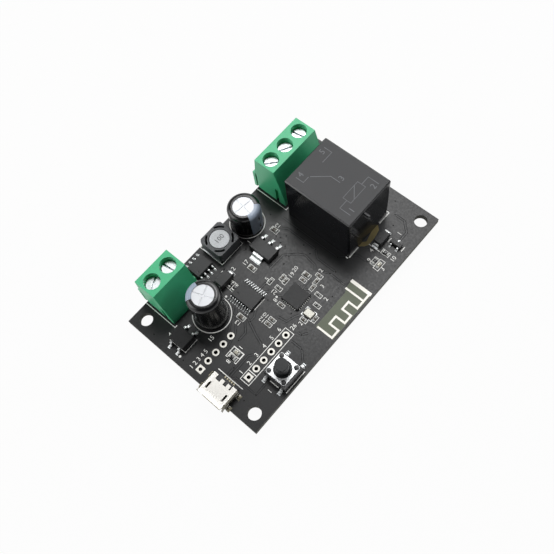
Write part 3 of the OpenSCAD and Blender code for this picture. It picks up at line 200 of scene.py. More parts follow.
# Length and width of the crystal's corner pads, and how far their middles lie in from the corners
CRYSTAL_PAD = (0.75 * MM, 0.85 * MM)
CRYSTAL_INSET = (0.15 * MM, 0.2 * MM)
# The USB shell's soldered feet: places behind the mouth, distance from its middle line, pads and drops of solder
USB_FOOT_X = (1.55 * MM, 4.85 * MM)
USB_FOOT_Y = 4.2 * MM
USB_FOOT_PAD = (1.3 * MM, 0.75 * MM)
USB_FOOT_DROP = (0.64 * MM, 0.42 * MM, 0.5 * MM)
# Printed stripes on the two capacitors, from -X: the way they face, and half the angle of a stripe and of a dash
STRIPE_TURNS = (110, -78)
STRIPE_HALF = 38
DASH_HALF = 4
STRIPE_LIFT, STRIPE_SHEET = 0.012 * MM, 0.022 * MM  # how far the stripe stands off the film, and its thickness
STRIPE_FOOT = 0.35 * MM  # the film left free below the stripe
SHOULDER = 1.05 * MM  # the bend at the film's upper edge
STRIPE_REACH = 1.4 * MM  # how far the stripe goes in over the top
DASH_LIFT, DASH_SHEET = 0.02 * MM, 0.015 * MM
DASH_LENGTH = 1.6 * MM
FONT_SIZE = 1.38  # font size for a digit one high

DRIFT_SIZE = 4 * MM  # the length over which a finish's colour drifts
NOISE_LOW, NOISE_HIGH = 0.3, 0.7  # the range that the noise fills
BUMP = 0.6  # how strongly every grain shows
LEVEL_FROM, LEVEL_TO = 0.92, 0.985  # the normal's upright share, from a steep face to a level one
COPLANAR = 0.5  # CAD faces within this many degrees are one face
SHARP = 55  # edges sharper than this many degrees stay sharp after the rounding

# The floor in metres, its grain, how white it looks, and the soft edges of the painted shadow under the board and of
# the painted light below its holes
FLOOR_REACH = 3.0
FLOOR_DEPTH = 2 * MM
FLOOR_GAP = 0.05 * MM
PAPER_GRAIN = 2.5 * MM
PAPER_WHITE = 0.96
SHADOW_EDGE = 3 * MM
HOLE_LIGHT = (3.6 * MM, 6.5 * MM)
# The room's own light, the white sweep's light, and the height range over which the sweep ends
ROOM_LEVEL = 0.08
SWEEP_LEVEL = 0.9
SWEEP_TOP = (0.2, 0.5)
# Square soft lamps that look at the origin: place and width in metres, and power in watts
LAMPS = [
    ("key_softbox", (0.279, 0.075, 0.345), 0.38, 1.15),
    ("top_softbox", (0.14, 0.112, 0.4), 0.14, 0.52),
    ("fill_softbox", (-0.3, 0.3, 0.3), 0.4, 1.5),
    ("left_strip", (-0.42, 0.145, 0.125), 0.3, 0.15),
    ("right_strip", (0.36, -0.26, 0.15), 0.3, 0.7),
]
# The photograph's camera: place, sensor and lens in millimetres, and turn about X, Y and Z in degrees
CAMERA_PLACE = (-41.594, -50.054, 147.574)
CAMERA_TURN = (23.078, 4.855, -48.96)
CAMERA_SENSOR = 36
CAMERA_LENS = 44.02


def linear(code):
    """An sRGB hex colour as linear red, green, blue and alpha."""
    parts = [int(code[i:i + 2], 16) / 255 for i in (1, 3, 5)]
    return tuple(p / 12.92 if p <= 0.04045 else ((p + 0.055) / 1.055) ** 2.4 for p in parts) + (1.0,)


def add(tree, kind, inputs=None, **settings):
    """Adds a node, with its settings, and sets or links its inputs by name or number."""
    made = tree.nodes.new(kind)
    for key, value in settings.items():
        setattr(made, key, value)
    for key, value in (inputs or {}).items():
        if isinstance(value, bpy.types.NodeSocket):
            tree.links.new(value, made.inputs[key])
        else:
            made.inputs[key].default_value = value
    return made


def empty_tree(owner):
    """The node tree of a new material or world, without nodes."""
    owner.use_nodes = True
    owner.node_tree.nodes.clear()
    return owner.node_tree


def colour_property(name, description, code):
    """A colour that a user can set, with its default as sRGB hex."""
    return FloatVectorProperty(name=name, description=description, subtype="COLOR", size=3, min=0, max=1,
                               default=linear(code)[:3])


def length_property(name, description, millimetres):
    """A length that a user can set, with its default in millimetres."""
    return FloatProperty(name=name, description=description, unit="LENGTH", min=0, default=millimetres * MM)


class RelayModuleColours(bpy.types.PropertyGroup):
    """Colours of the finishes that show most."""
    mask: colour_property("Coating", "Black coating over copper", "#0b0c0e")
    laminate: colour_property("Laminate", "Coated board where it has no copper", "#585f4c")
    ink: colour_property("Board ink", "Printed lines and numbers", "#f6f6f2")
    terminal: colour_property("Terminal blocks", "Polyamide of the terminal blocks", "#3cb27d")
    relay_side: colour_property("Relay sides", "Glossy sides of the relay case", "#0b0c10")
    relay_top: colour_property("Relay top", "Matt top of the relay case", "#1c1d20")
    sleeve: colour_property("Capacitor sleeve", "Shrunk film round the capacitors", "#050608")
    stripe: colour_property("Capacitor stripe", "Printed stripe on the sleeves", "#95a1b2")
    package: colour_property("Chip package", "Moulded epoxy of the chips", "#1e1f20")
    button: colour_property("Button", "Push button", "#0c1214")


class RelayModuleSizes(bpy.types.PropertyGroup):
    """Sizes of what the finished look adds to the solids."""
    line_width: length_property("Printed line", "Width of a printed line", 0.21)
    outline_width: length_property("Chip outline", "Width of the printed line round a small chip", 0.19)
    ink_height: length_property("Ink height", "Height of printed ink above the coating", 0.02)
    number_height: length_property("Number height", "Height of the printed numbers", 1.1)
    track_width: length_property("Track", "Width of a coated copper track", 0.3)
    track_height: length_property("Track height", "Rise of the coating over a track", 0.004)
    track_gap: length_property("Track gap", "Strip without copper on either side of a track", 0.17)
    field_height: length_property("Field height", "Rise of the coating where it lies on bare laminate", 0.008)
    via_radius: length_property("Coated hole", "Radius of the ring round a small plated hole", 0.34)
    via_height: length_property("Coated hole height", "Rise of the ring round a small plated hole", 0.02)
    # The hole's dark mouth is a black disc laid on the coating: painted shade
    mouth_radius: length_property("Hole mouth", "Radius of the dark mouth of a small plated hole", 0.2)
    mouth_height: length_property("Hole mouth height", "Rise of the dark mouth over the coating", 0.006)
    pad_height: length_property("Pad height", "Height of a soldered pad", 0.04)
    pin_ring: length_property("Pin ring", "Width of the pad round a soldered pin below", 0.2)
    pin_ring_height: length_property("Pin ring height", "Height of the pad round a soldered pin below", 0.035)
    block_edge: length_property("Block edge", "Rounding of the terminal blocks' edges", 0.12)
    screw_edge: length_property("Screw edge", "Rounding of the clamp screws' edges", 0.1)
    case_edge: length_property("Case edge", "Rounding of the relay case's edges", 0.2)
    case_line: length_property("Case line", "Width of the lines printed on the relay case", 0.16)
    case_number: length_property("Case number", "Height of the numbers printed on the relay case", 1.5)
    case_ink: length_property("Case ink", "Height of the ink on the relay case", 0.004)
    sleeve_edge: length_property("Sleeve edge", "Rounding of the capacitor sleeves' edges", 0.12)
    can_edge: length_property("Can edge", "Rounding of the capacitor cans' edges", 0.06)
    shield_edge: length_property("Shield edge", "Rounding of the inductor shield's edges", 0.12)
    drum_edge: length_property("Drum edge", "Rounding of the inductor drum's edges", 0.1)
    drum_number: length_property("Drum number", "Height of the number on the inductor's drum", 1.3)
    drum_ink: length_property("Drum ink", "Thickness of the number on the inductor's drum", 0.008)
    chip_edge: length_property("Chip edge", "Rounding of the chips' edges", 0.06)
    small_edge: length_property("Small edge", "Rounding of the small parts' edges", 0.03)
    base_edge: length_property("Switch edge", "Rounding of the push switch's base", 0.06)
    button_edge: length_property("Button edge", "Rounding of the push button's edges", 0.14)
    metal_edge: length_property("Metal edge", "Rounding of sheet metal edges", 0.035)
    dome_sheet: length_property("Dome sheet", "Thickness of the push switch's sprung dome", 0.1)


def colours():
    """The colours that are set now."""
    return bpy.context.scene.relay_module_colours


def sizes():
    """The sizes that are set now."""
    return bpy.context.scene.relay_module_sizes


def surface(name, colour, roughness, size, depth, drift=0.12, spread=0.06, stretch=(1, 1, 1), level=None, **sockets):
    """A finish whose colour, set or in sRGB hex, drifts over some millimetres and whose gloss is broken by a grain.

    size and depth give the grain in millimetres, and it is coarser than a real one where it has to show. drift is
    the colour's share either way, spread the roughness's, and a stretch below 1 draws the grain out along that axis.
    level holds a second colour and roughness for faces that lie level.
    """
    made = bpy.data.materials.new(name)
    tree = empty_tree(made)
    place = add(tree, "ShaderNodeTexCoord").outputs["Object"]
    drawn = add(tree, "ShaderNodeMapping", {"Vector": place, "Scale": stretch}).outputs[0]
    fine = add(tree, "ShaderNodeTexNoise", {"Vector": drawn, "Scale": 1 / (size * MM), "Detail": 3.0}).outputs[0]
    broad = add(tree, "ShaderNodeTexNoise", {"Vector": place, "Scale": 1 / DRIFT_SIZE, "Detail": 2.0}).outputs[0]
    both = add(tree, "ShaderNodeMath", {0: fine, 1: broad}, operation="ADD").outputs[0]
    shade = add(tree, "ShaderNodeMapRange", {0: both, 1: 2 * NOISE_LOW, 2: 2 * NOISE_HIGH}).outputs[0]

    def drifted(base):
        """The base colour, from a little darker to a little lighter."""
        base = linear(base) if isinstance(base, str) else base
        dark, light = [[min(1.0, c * (1 + way * drift)) for c in base[:3]] + [1.0] for way in (-1, 1)]
        return add(tree, "ShaderNodeMix", {0: shade, 6: dark, 7: light}, data_type="RGBA").outputs[2]

    def broken(middle):
        """The roughness, from a little glossier to a little duller."""
        return add(tree, "ShaderNodeMapRange", {0: fine, 1: NOISE_LOW, 2: NOISE_HIGH, 3: middle - spread,
                                                4: middle + spread}).outputs[0]

    tone, gloss = drifted(colour), broken(roughness)
    if level:
        normal = add(tree, "ShaderNodeNewGeometry").outputs["Normal"]
        upright = add(tree, "ShaderNodeSeparateXYZ", {0: normal}).outputs["Z"]
        steep = add(tree, "ShaderNodeMath", {0: upright}, operation="ABSOLUTE").outputs[0]
        flat = add(tree, "ShaderNodeMapRange", {0: steep, 1: LEVEL_FROM, 2: LEVEL_TO}).outputs[0]
        tone = add(tree, "ShaderNodeMix", {0: flat, 6: tone, 7: drifted(level[0])}, data_type="RGBA").outputs[2]
        gloss = add(tree, "ShaderNodeMix", {0: flat, 2: gloss, 3: broken(level[1])}).outputs[0]
    bump = add(tree, "ShaderNodeBump", {"Strength": BUMP, "Distance": depth * MM, "Height": fine}).outputs[0]
    shader = add(tree, "ShaderNodeBsdfPrincipled", {"Base Color": tone, "Roughness": gloss, "Normal": bump})
    for key, value in sockets.items():
        shader.inputs[key.replace("_", " ").title().replace("Ior", "IOR")].default_value = value
    add(tree, "ShaderNodeOutputMaterial", {"Surface": shader.outputs[0]})
    return made


def make_finishes():
    """Makes every finish by its material slot, and those that only the look adds."""
    c = colours()
    return {
        # Black solder mask over copper foil: satin, with a faint weave, and pale laminate at the cut edges
        "solder_mask": surface("solder_mask_on_copper", "#45443c", 0.75, 0.5, 0.004,
                               level=(c.mask, 0.42), ior=1.5),
        # Solder mask straight on the laminate: the same coating, seen olive over the glass cloth
        "bare_laminate": surface("solder_mask_on_laminate", c.laminate, 0.5, 0.4, 0.004, drift=0.2, ior=1.5),
        # Solder mask on an amber patch by the relay: an amber tone made light enough to stay bright in the relay's
        # shadow, partly painted light
        "amber_laminate_and_light": surface("solder_mask_on_amber_laminate", "#7d6f3f", 0.5, 0.4, 0.004, drift=0.2, ior=1.5),
        # Solder mask over a copper track: a shade lighter and glossier than over the plane
        "coated_track": surface("solder_mask_on_track", "#18191c", 0.4, 0.5, 0.003, ior=1.5),
        # Solder mask in the gap beside a track, where the copper plane is cut back: darker and duller
        "track_gap": surface("solder_mask_beside_track", "#08090a", 0.6, 0.5, 0.003, ior=1.4),
        # Screen-printed epoxy ink: flat white with slightly thin places
        "board_ink": surface("white_board_ink", c.ink, 0.6, 0.2, 0.004, drift=0.06, ior=1.5),
        # Copper dipped in tin: bright with soft ripples on the flats; its steep faces, such as the walls of the
        # bores, are painted near black as painted shade
        "tinned_copper": surface("tinned_copper", "#1b1a17", 0.5, 0.6, 0.012, drift=0.05,
                                 level=("#e9e7e0", 0.55), metallic=0.35),
        # Reflowed solder: bright, uneven skin
        "solder": surface("reflowed_solder", "#b9bcbe", 0.28, 0.5, 0.03, drift=0.08, metallic=1.0),
        # Hand-touched solder on the shell's feet: dull, a little brown from the flux
        "dull_solder": surface("dull_solder", "#8d8877", 0.5, 0.4, 0.02, metallic=0.8),
        # Tin that was reflowed on the chips' ends: greyer than the plated leads
        "grey_tin": surface("reflowed_grey_tin", "#a5a6a3", 0.5, 0.25, 0.01, drift=0.1, metallic=0.8),
        # Tin at the radio chip's edge: matt and nearly white, partly painted light, so that it stays bright in the
        # chip's own shadow
        "white_tin": surface("matt_white_tin", "#e4e4e0", 0.6, 0.25, 0.008, drift=0.06, metallic=0.2),
        # Glass-filled polyamide, moulded: saturated green, satin, very fine eroded grain
        "green_nylon": surface("green_polyamide", c.terminal, 0.45, 0.22, 0.006, drift=0.06, ior=1.6),
        # Zinc-plated steel, turned: bright and slightly blue
        "zinc_steel": surface("zinc_plated_steel", "#e2e5e8", 0.42, 0.25, 0.006, drift=0.08,
                              stretch=(1, 1, 0.3), metallic=1.0),
        # Tinned brass strip: pale, soft gloss
        "tinned_brass": surface("tinned_brass", "#d9d3bf", 0.3, 0.3, 0.005, metallic=1.0),
        # Moulded PBT case, sanded on top for the print: matt, fine grain
        "relay_plastic": surface("sanded_case_plastic", c.relay_top, 0.55, 0.16, 0.003, drift=0.1, spread=0.04,
                                 ior=1.54),
        # The case's sides and edges as they left the polished mould: smooth and glossy
        "relay_gloss": surface("polished_case_plastic", c.relay_side, 0.2, 0.6, 0.0004, drift=0.1, spread=0.02,
                               ior=1.54),
        # Ink that a pad printed on the case: grey, thin, half sunk in
        "case_ink": surface("grey_case_ink", "#65676a", 0.6, 0.2, 0.003, drift=0.15, ior=1.5),
        # Black liquid-crystal polymer: fine flow marks
        "black_plastic": surface("black_connector_plastic", "#17181a", 0.45, 0.3, 0.006, ior=1.6),
        # Soft iron, blanked and annealed: dull grey
        "soft_iron": surface("soft_iron", "#8f9294", 0.45, 0.3, 0.01, metallic=1.0),
        # Natural nylon bobbin: milky, satin
        "white_nylon": surface("natural_nylon", "#e6e1d2", 0.45, 0.3, 0.006, ior=1.53),
        # Enamelled copper wire in close turns: the stretch draws the turns round the bobbin
        "enamelled_copper": surface("enamelled_copper_wire", "#a85a2f", 0.3, 0.3, 0.03, drift=0.2,
                                    stretch=(0.1, 0.1, 1.5), metallic=0.9),
        # Phosphor bronze spring strip: warm, rolled along its length
        "contact_bronze": surface("phosphor_bronze", "#c79a4b", 0.3, 0.3, 0.005, stretch=(1, 0.15, 1), metallic=1.0),
        # Deep-drawn aluminium: nearly white, soft drawing marks
        "drawn_aluminium": surface("drawn_aluminium", "#c2c4c7", 0.5, 0.25, 0.004, drift=0.04, metallic=1.0),
        # Shrunk PVC film: deep gloss with a slight orange peel
        "sleeve_film": surface("shrunk_sleeve_film", c.sleeve, 0.24, 1.5, 0.0006, drift=0.1, spread=0.02, ior=1.53),
        # Printed ink on the film: satin
        "sleeve_ink": surface("sleeve_stripe_ink", c.stripe, 0.35, 0.4, 0.004, drift=0.05, ior=1.5),
        # Butyl rubber bung: dull black-brown
        "seal_rubber": surface("butyl_rubber", "#2c2a27", 0.7, 0.3, 0.01, ior=1.52),
        # Wound foil and paper: buff with fine edges of turns
        "wound_foil": surface("wound_foil_and_paper", "#b09f83", 0.6, 0.2, 0.02, drift=0.2),
        # Sintered ferrite: dark grey, matt, with small pits
        "ferrite": surface("sintered_ferrite", "#34373a", 0.62, 0.18, 0.02, drift=0.16, ior=1.8),
        # Ground ferrite face: lighter, with a soft sheen
        "ferrite_core": surface("ground_ferrite", "#b4b7ba", 0.5, 0.22, 0.02, drift=0.3, ior=1.8),
        # Filled epoxy, transfer moulded: dark grey, eroded matt skin
        "moulded_epoxy": surface("moulded_epoxy", c.package, 0.52, 0.12, 0.01, drift=0.14, ior=1.55),
        # The radio chip's epoxy: a little darker
        "dark_epoxy": surface("dark_moulded_epoxy", "#131415", 0.52, 0.12, 0.01, drift=0.14, ior=1.48),
        # The bridge's epoxy: the moulded epoxy made nearly black and dull, painted shade for its dim place near the
        # board's corner
        "bridge_epoxy_painted_shade": surface("moulded_epoxy_painted_shade", "#0b0c0d", 0.58, 0.12, 0.01, drift=0.14, ior=1.38),
        # Matt tin plating: pale grey, soft highlights
        "tinned_leads": surface("matt_tin_plate", "#cbcdcd", 0.45, 0.25, 0.006, drift=0.06, metallic=0.95),
        # Alumina base: dark ceramic, matt
        "ceramic": surface("dark_alumina", "#55524a", 0.6, 0.12, 0.006),
        # Gold-flashed lid: pale, slightly warm sheet
        "lid_steel": surface("kovar_lid", "#b4b3ab", 0.5, 0.2, 0.004, drift=0.05, metallic=1.0),
        # Glass overcoat of a resistor: black and shiny
        "resistor_film": surface("resistor_glaze", "#161719", 0.25, 0.2, 0.006, ior=1.52),
        # Barium titanate ceramic: tan, slightly speckled
        "tan_ceramic": surface("tan_titanate_ceramic", "#4d463c", 0.5, 0.12, 0.006, drift=0.16, ior=1.6),
        # White lamp base laminate
        "led_board": surface("white_laminate", "#ece7da", 0.5, 0.2, 0.004, drift=0.05, ior=1.5),
        # Clear casting resin: glossy, slightly warm
        "clear_resin": surface("clear_casting_resin", "#f3efdc", 0.1, 0.4, 0.002, drift=0.03, spread=0.03,
                               transmission_weight=0.55, ior=1.5),
        # Stainless sheet, rolled along X
        "cover_steel": surface("rolled_stainless", "#dfe1e2", 0.42, 0.12, 0.004, drift=0.05,
                               stretch=(0.12, 1, 1), metallic=1.0),
        # Acetal button: slate grey, satin
        "slate_plastic": surface("slate_acetal", c.button, 0.42, 0.2, 0.006, ior=1.45),
        # Spring steel dome: bright, rolled
        "spring_steel": surface("spring_steel", "#d3d5d8", 0.25, 0.2, 0.004, stretch=(0.15, 1, 1), metallic=1.0),
        # Nickel-plated steel shell: bright and slightly warm on top; its steep sides are the same plate painted
        # darker, painted shade
        "nickel_shell": surface("nickel_plated_steel", "#8b887d", 0.45, 0.18, 0.004, drift=0.05,
                                level=("#d9d7d2", 0.42), metallic=1.0),
        # Gold flash on bronze
        "gold_contact": surface("gold_flash", "#b3ab92", 0.3, 0.2, 0.004, metallic=1.0),
        # A black disc over each small plated hole: painted shade for the hole's dark depth
        "via_shade_disc": surface("coated_hole", "#050505", 0.8, 0.2, 0.004, ior=1.3),
    }


FINISH = {}


def finished(piece, body="board", stands_for=()):
    """Makes a piece ride on its body and stand for CAD nodes."""
    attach(piece, body)
    if stands_for:
        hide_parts(*stands_for)
    return piece


def new_object(name, data):
    """An object at the origin of the scene."""
    made = bpy.data.objects.new(name, data)
    bpy.context.scene.collection.objects.link(made)
    return made


def new_mesh(name, points, edges=(), faces=()):
    """A mesh from plain lists."""
    mesh = bpy.data.meshes.new(name)
    mesh.from_pydata(points, edges, faces)
    return mesh


def new_piece(name, mesh, finish):
    """An object with one finish."""
    mesh.materials.clear()
    mesh.materials.append(FINISH[finish])
    return new_object(name, mesh)


def shown_mesh(holder):
    """The plain mesh that an object shows, with its modifiers or text carried out."""
    graph = bpy.context.evaluated_depsgraph_get()
    return bpy.data.meshes.new_from_object(holder.evaluated_get(graph), depsgraph=graph)


def bake(piece):
    """Turns a piece with modifiers into a plain mesh and takes the modifiers off."""
    mesh, old = shown_mesh(piece), piece.data
    piece.modifiers.clear()
    piece.data = mesh
    bpy.data.meshes.remove(old)
    if not mesh.polygons:
        raise RuntimeError(piece.name + " came out empty")


def smooth(mesh, degrees=38):
    """Smooth shading that keeps edges sharper than the angle."""
    mesh.shade_smooth()
    mesh.set_sharp_from_angle(angle=math.radians(degrees))


def welded(mesh):
    """An editable copy of a mesh, with the points that lie together merged."""
    shape = bmesh.new()
    shape.from_mesh(mesh)
    bmesh.ops.remove_doubles(shape, verts=shape.verts, dist=WELD)
    return shape


def stored(shape, mesh):
    """Writes an edited shape to a mesh and lets the shape go."""
    shape.to_mesh(mesh)
    shape.free()
    return mesh


def outward(mesh):
    """Merges doubles and points every face outwards."""
    shape = welded(mesh)
    bmesh.ops.recalc_face_normals(shape, faces=shape.faces)
    return stored(shape, mesh)


def paint(*nodes):
    """Gives CAD nodes that stay as they are the finish of their slot."""
    for node in nodes:
        mesh = frame["nodes"][node].data
        mesh.materials.clear()
        mesh.materials.append(FINISH[SLOT_OF[node]])


def rounded(node, name, width, segments=2, degrees=40, finish=None):
    """A copy of a CAD node with its sharp edges rounded, which stands for the node."""
    shape = welded(frame["nodes"][node].data)
    bmesh.ops.dissolve_limit(shape, angle_limit=math.radians(COPLANAR), verts=shape.verts, edges=shape.edges)
    piece = new_piece(name, stored(shape, bpy.data.meshes.new(name)), finish or SLOT_OF[node])
    edge = piece.modifiers.new("edge", "BEVEL")
    edge.width = width
    edge.segments = segments
    edge.limit_method = "ANGLE"
    edge.angle_limit = math.radians(degrees)
    edge.use_clamp_overlap = True
    edge.miter_outer = "MITER_ARC"
    bake(piece)
    # Edges too short for the rounding leave flat faces behind
    shape = welded(piece.data)
    bmesh.ops.dissolve_degenerate(shape, dist=WELD, edges=shape.edges)
    smooth(stored(shape, piece.data), SHARP)
    flat = piece.modifiers.new("flat", "WEIGHTED_NORMAL")
    flat.keep_sharp = True
    bake(piece)
    return finished(piece, BODY_OF[node], [node])


def islands(node):
    """The lowest and highest corner of each separate solid in a CAD node."""
    shape = welded(frame["nodes"][node].data)
    boxes, seen = [], set()
    for first in shape.verts:
        if first in seen:
            continue
        group, reach = [], [first]
        seen.add(first)
        while reach:
            vert = reach.pop()
            group.append(vert.co.copy())
            for edge in vert.link_edges:
                other = edge.other_vert(vert)
                if other not in seen:
                    seen.add(other)
                    reach.append(other)
        boxes.append((Vector([min(p[i] for p in group) for i in range(3)]),
                      Vector([max(p[i] for p in group) for i in range(3)])))
    shape.free()
    return boxes


def cans():
    """The boxes of the two capacitors, from -X."""
    return sorted(islands("capacitor_sleeves"), key=lambda box: box[0].x)


def new_tree(name, inputs):
    """An empty geometry nodes tree with named inputs, and the sockets that give them."""
    tree = bpy.data.node_groups.new(name, "GeometryNodeTree")
    for label, kind in inputs.items():
        tree.interface.new_socket(label, in_out="INPUT", socket_type="NodeSocket" + kind)
    tree.interface.new_socket("Result", in_out="OUTPUT", socket_type="NodeSocketGeometry")
    return tree, add(tree, "NodeGroupInput").outputs


def end_tree(tree, geometry, finish):
    """Ends a tree: its instances are made real and get their finish."""
    real = add(tree, "GeometryNodeRealizeInstances", {0: geometry})
    clad = add(tree, "GeometryNodeSetMaterial", {"Geometry": real.outputs[0], "Material": finish})
    add(tree, "NodeGroupOutput", {0: clad.outputs[0]})
    return tree


def ribbon_tree(name):
    """Geometry nodes that lay a flat ribbon along every line of a mesh."""
    tree, given = new_tree(name, {"Lines": "Geometry", "Width": "Float", "Height": "Float", "Finish": "Material"})
    line = add(tree, "GeometryNodeMeshToCurve", {"Mesh": given["Lines"]})
    upright = add(tree, "GeometryNodeSetCurveNormal", {"Curve": line.outputs[0]}, mode="Z_UP")
    section = add(tree, "GeometryNodeCurvePrimitiveQuadrilateral",
                  {"Width": given["Width"], "Height": given["Height"]})
    swept = add(tree, "GeometryNodeCurveToMesh",
                {"Curve": upright.outputs[0], "Profile Curve": section.outputs[0], "Fill Caps": True})
    return end_tree(tree, swept.outputs[0], given["Finish"])


def scatter_tree(name):
    """Geometry nodes that put one shape on every point, turned about Z and stretched."""
    tree, given = new_tree(name, {"Points": "Geometry", "Shape": "Object", "Finish": "Material"})
    shape = add(tree, "GeometryNodeObjectInfo", {"Object": given["Shape"], "As Instance": True})
    turn = add(tree, "GeometryNodeInputNamedAttribute", {"Name": "turn"}, data_type="FLOAT")
    stretch = add(tree, "GeometryNodeInputNamedAttribute", {"Name": "stretch"}, data_type="FLOAT_VECTOR")
    angles = add(tree, "ShaderNodeCombineXYZ", {"Z": turn.outputs[0]})
    facing = add(tree, "FunctionNodeEulerToRotation", {0: angles.outputs[0]})
    placed = add(tree, "GeometryNodeInstanceOnPoints",
                 {"Points": given["Points"], "Instance": shape.outputs["Geometry"],
                  "Rotation": facing.outputs[0], "Scale": stretch.outputs[0]})
    return end_tree(tree, placed.outputs[0], given["Finish"])


TREES = {"laid_ribbon": ribbon_tree, "placed_shapes": scatter_tree}


def run_tree(piece, name, values):
    """Runs a geometry nodes tree on a piece with its inputs set by identifier, and bakes the result."""
    tree = bpy.data.node_groups.get(name) or TREES[name](name)
    sockets = {s.name: s.identifier for s in tree.interface.items_tree if s.in_out == "INPUT"}
    step = piece.modifiers.new("nodes", "NODES")
    step.node_group = tree
    for key, value in values.items():
        step[sockets[key]] = value
    bake(piece)


def ribbons(name, paths, z, width, height, finish, closed=()):
    """Flat ribbons along open paths and round closed ones, in millimetres, standing on height z."""
    points, edges = [], []
    for path, loop in [(p, False) for p in paths] + [(p, True) for p in closed]:
        first = len(points)
        points += [(x * MM, y * MM, z + height / 2) for x, y in path]
        last = len(points) - 1
        edges += [(i, i + 1) for i in range(first, last)]
        if loop:
            edges.append((last, first))
    piece = new_piece(name, new_mesh(name, points, edges), finish)
    run_tree(piece, "laid_ribbon", {"Width": width, "Height": height, "Finish": FINISH[finish]})
    outward(piece.data)
    piece.data.shade_flat()
    return finished(piece)


def scatter(name, places, shape, finish):
    """Copies of one shape at places given as point, turn in radians and stretch."""
    mesh = new_mesh(name, [place[0] for place in places])
    turn = mesh.attributes.new("turn", "FLOAT", "POINT")
    turn.data.foreach_set("value", [place[1] for place in places])
    stretch = mesh.attributes.new("stretch", "FLOAT_VECTOR", "POINT")
    stretch.data.foreach_set("vector", [v for place in places for v in place[2]])
    piece = new_piece(name, mesh, finish)
    model = new_object(name + "_shape", shape)
    run_tree(piece, "placed_shapes", {"Shape": model, "Finish": FINISH[finish]})
    bpy.data.objects.remove(model)
    return finished(piece)


def circle(x, y, radius, count=72):
    """Points round a circle."""
    return [(x + radius * math.cos(2 * math.pi * i / count), y + radius * math.sin(2 * math.pi * i / count))
            for i in range(count)]


def corner_box(x0, y0, x1, y1):
    """The corners of a flat box, anticlockwise."""
    return [(x0, y0), (x1, y0), (x1, y1), (x0, y1)]


def prism(name, outline, low, high):
    """A mesh between two heights over a flat outline that turns anticlockwise."""
    count = len(outline)
    points = [(x, y, low) for x, y in outline] + [(x, y, high) for x, y in outline]
    faces = [tuple(reversed(range(count))), tuple(range(count, 2 * count))]
    faces += [(i, (i + 1) % count, count + (i + 1) % count, count + i) for i in range(count)]
    return new_mesh(name, points, faces=faces)


def turned(name, profile, count, x=0.0, y=0.0):
    """A mesh turned about an upright axis from radii and heights that run round a closed section.

    A radius of 0 gives one point on the axis.
    """
    points, rows, faces = [], [], []
    for radius, z in profile:
        ring = circle(x, y, radius, count) if radius else [(x, y)]
        rows.append(range(len(points), len(points) + len(ring)))
        points += [(*place, z) for place in ring]
    for row, after in zip(rows, rows[1:] + rows[:1]):
        if len(row) == len(after) == 1:
            continue
        for i in range(count):
            j = (i + 1) % count
            corners = (row[i % len(row)], row[j % len(row)], after[j % len(after)], after[i % len(after)])
            faces.append(tuple(dict.fromkeys(corners)))
    return outward(new_mesh(name, points, faces=faces))


def pad_shape():
    """A unit plate with cut corners, one high, which stands on its middle."""
    side, cut = 0.5, 0.42
    return prism("pad_shape", [(side, -cut), (side, cut), (cut, side), (-cut, side), (-side, cut), (-side, -cut),
                               (-cut, -side), (cut, -side)], 0, 1)


def fillet_shape():
    """A unit solder fillet that climbs the wall at its -X end."""
    curve = [(0, 0), (1, 0), (1, 0.12), (0.6, 0.24), (0.28, 0.5), (0.1, 0.78), (0, 1)]
    mesh = prism("fillet_shape", curve, -0.5, 0.5)
    mesh.transform(Matrix.Rotation(math.pi / 2, 4, "X"))
    return mesh


def drop_shape():
    """A unit low drop of solder."""
    return turned("drop_shape", [(0, 0), (1, 0), (0.94, 0.35), (0.75, 0.68), (0.42, 0.92), (0, 1)], 16)


def ring_shape(inner, count=20):
    """A unit flat ring with a bore, one high."""
    return turned("ring_shape", [(1, 0), (1, 1), (inner, 1), (inner, 0)], count)


def snap_dome(low, high, sheet, rings=10, count=48):
    """A round sprung dome of sheet metal that fills a box."""
    middle, radius, rise = (low + high) / 2, (high.x - low.x) / 2, high.z - low.z - sheet
    arch = [(radius * k / rings, low.z + rise * (1 - (k / rings) ** 2)) for k in range(rings + 1)]
    section = [(r, z + sheet) for r, z in arch] + arch[::-1]
    return turned("snap_dome", section, count, middle.x, middle.y)


def wrapped_patch(shape, x, y, outline, thick, turn, half, steps=24):
    """Adds a thin patch wrapped round an upright axis.

    Its outer outline is given as radius and height, and its width as the angle of its middle and half its angle.
    """
    angles = [math.radians(turn - half + 2 * half * i / steps) for i in range(steps + 1)]
    inner = [(r - thick, z if z < outline[-1][1] - thick else z - thick) for r, z in reversed(outline)]
    rows = [[shape.verts.new((x + r * math.cos(a), y + r * math.sin(a), z)) for a in angles]
            for r, z in outline + inner]
    for k, row in enumerate(rows):
        after = rows[(k + 1) % len(rows)]
        for i in range(steps):
            shape.faces.new((row[i], row[i + 1], after[i + 1], after[i]))
    for i in (0, steps):
        shape.faces.new([row[i] for row in rows])


def numbers(name, entries, height, z, thickness, finish, flip=False):
    """Raised numbers on a level face, each given as text, place in millimetres and turn in degrees.

    flip turns them over, to be read from below.
    """
    shape = bmesh.new()
    for text, x, y, turn in entries:
        curve = bpy.data.curves.new(name, "FONT")
        curve.body = text
        curve.size = height * FONT_SIZE
        curve.align_x = "CENTER"
        curve.align_y = "CENTER"
        curve.extrude = thickness / 2
        curve.resolution_u = 2
        writer = new_object(name + "_text", curve)
        mesh = shown_mesh(writer)
        place = Matrix.Translation((x * MM, y * MM, z)) @ Matrix.Rotation(math.radians(turn), 4, "Z")
        mesh.transform(place @ Matrix.Rotation(math.pi if flip else 0, 4, "Y"))
        shape.from_mesh(mesh)
        bpy.data.objects.remove(writer)
        bpy.data.curves.remove(curve)
        bpy.data.meshes.remove(mesh)
    return finished(new_piece(name, outward(stored(shape, bpy.data.meshes.new(name))), finish))


def discs(points, radius, height):
    """Places on both faces of the board for flat round shapes, at points in millimetres."""
    return [((x * MM, y * MM, z), 0.0, (radius, radius, height)) for x, y in points for z in (TOP, -height)]


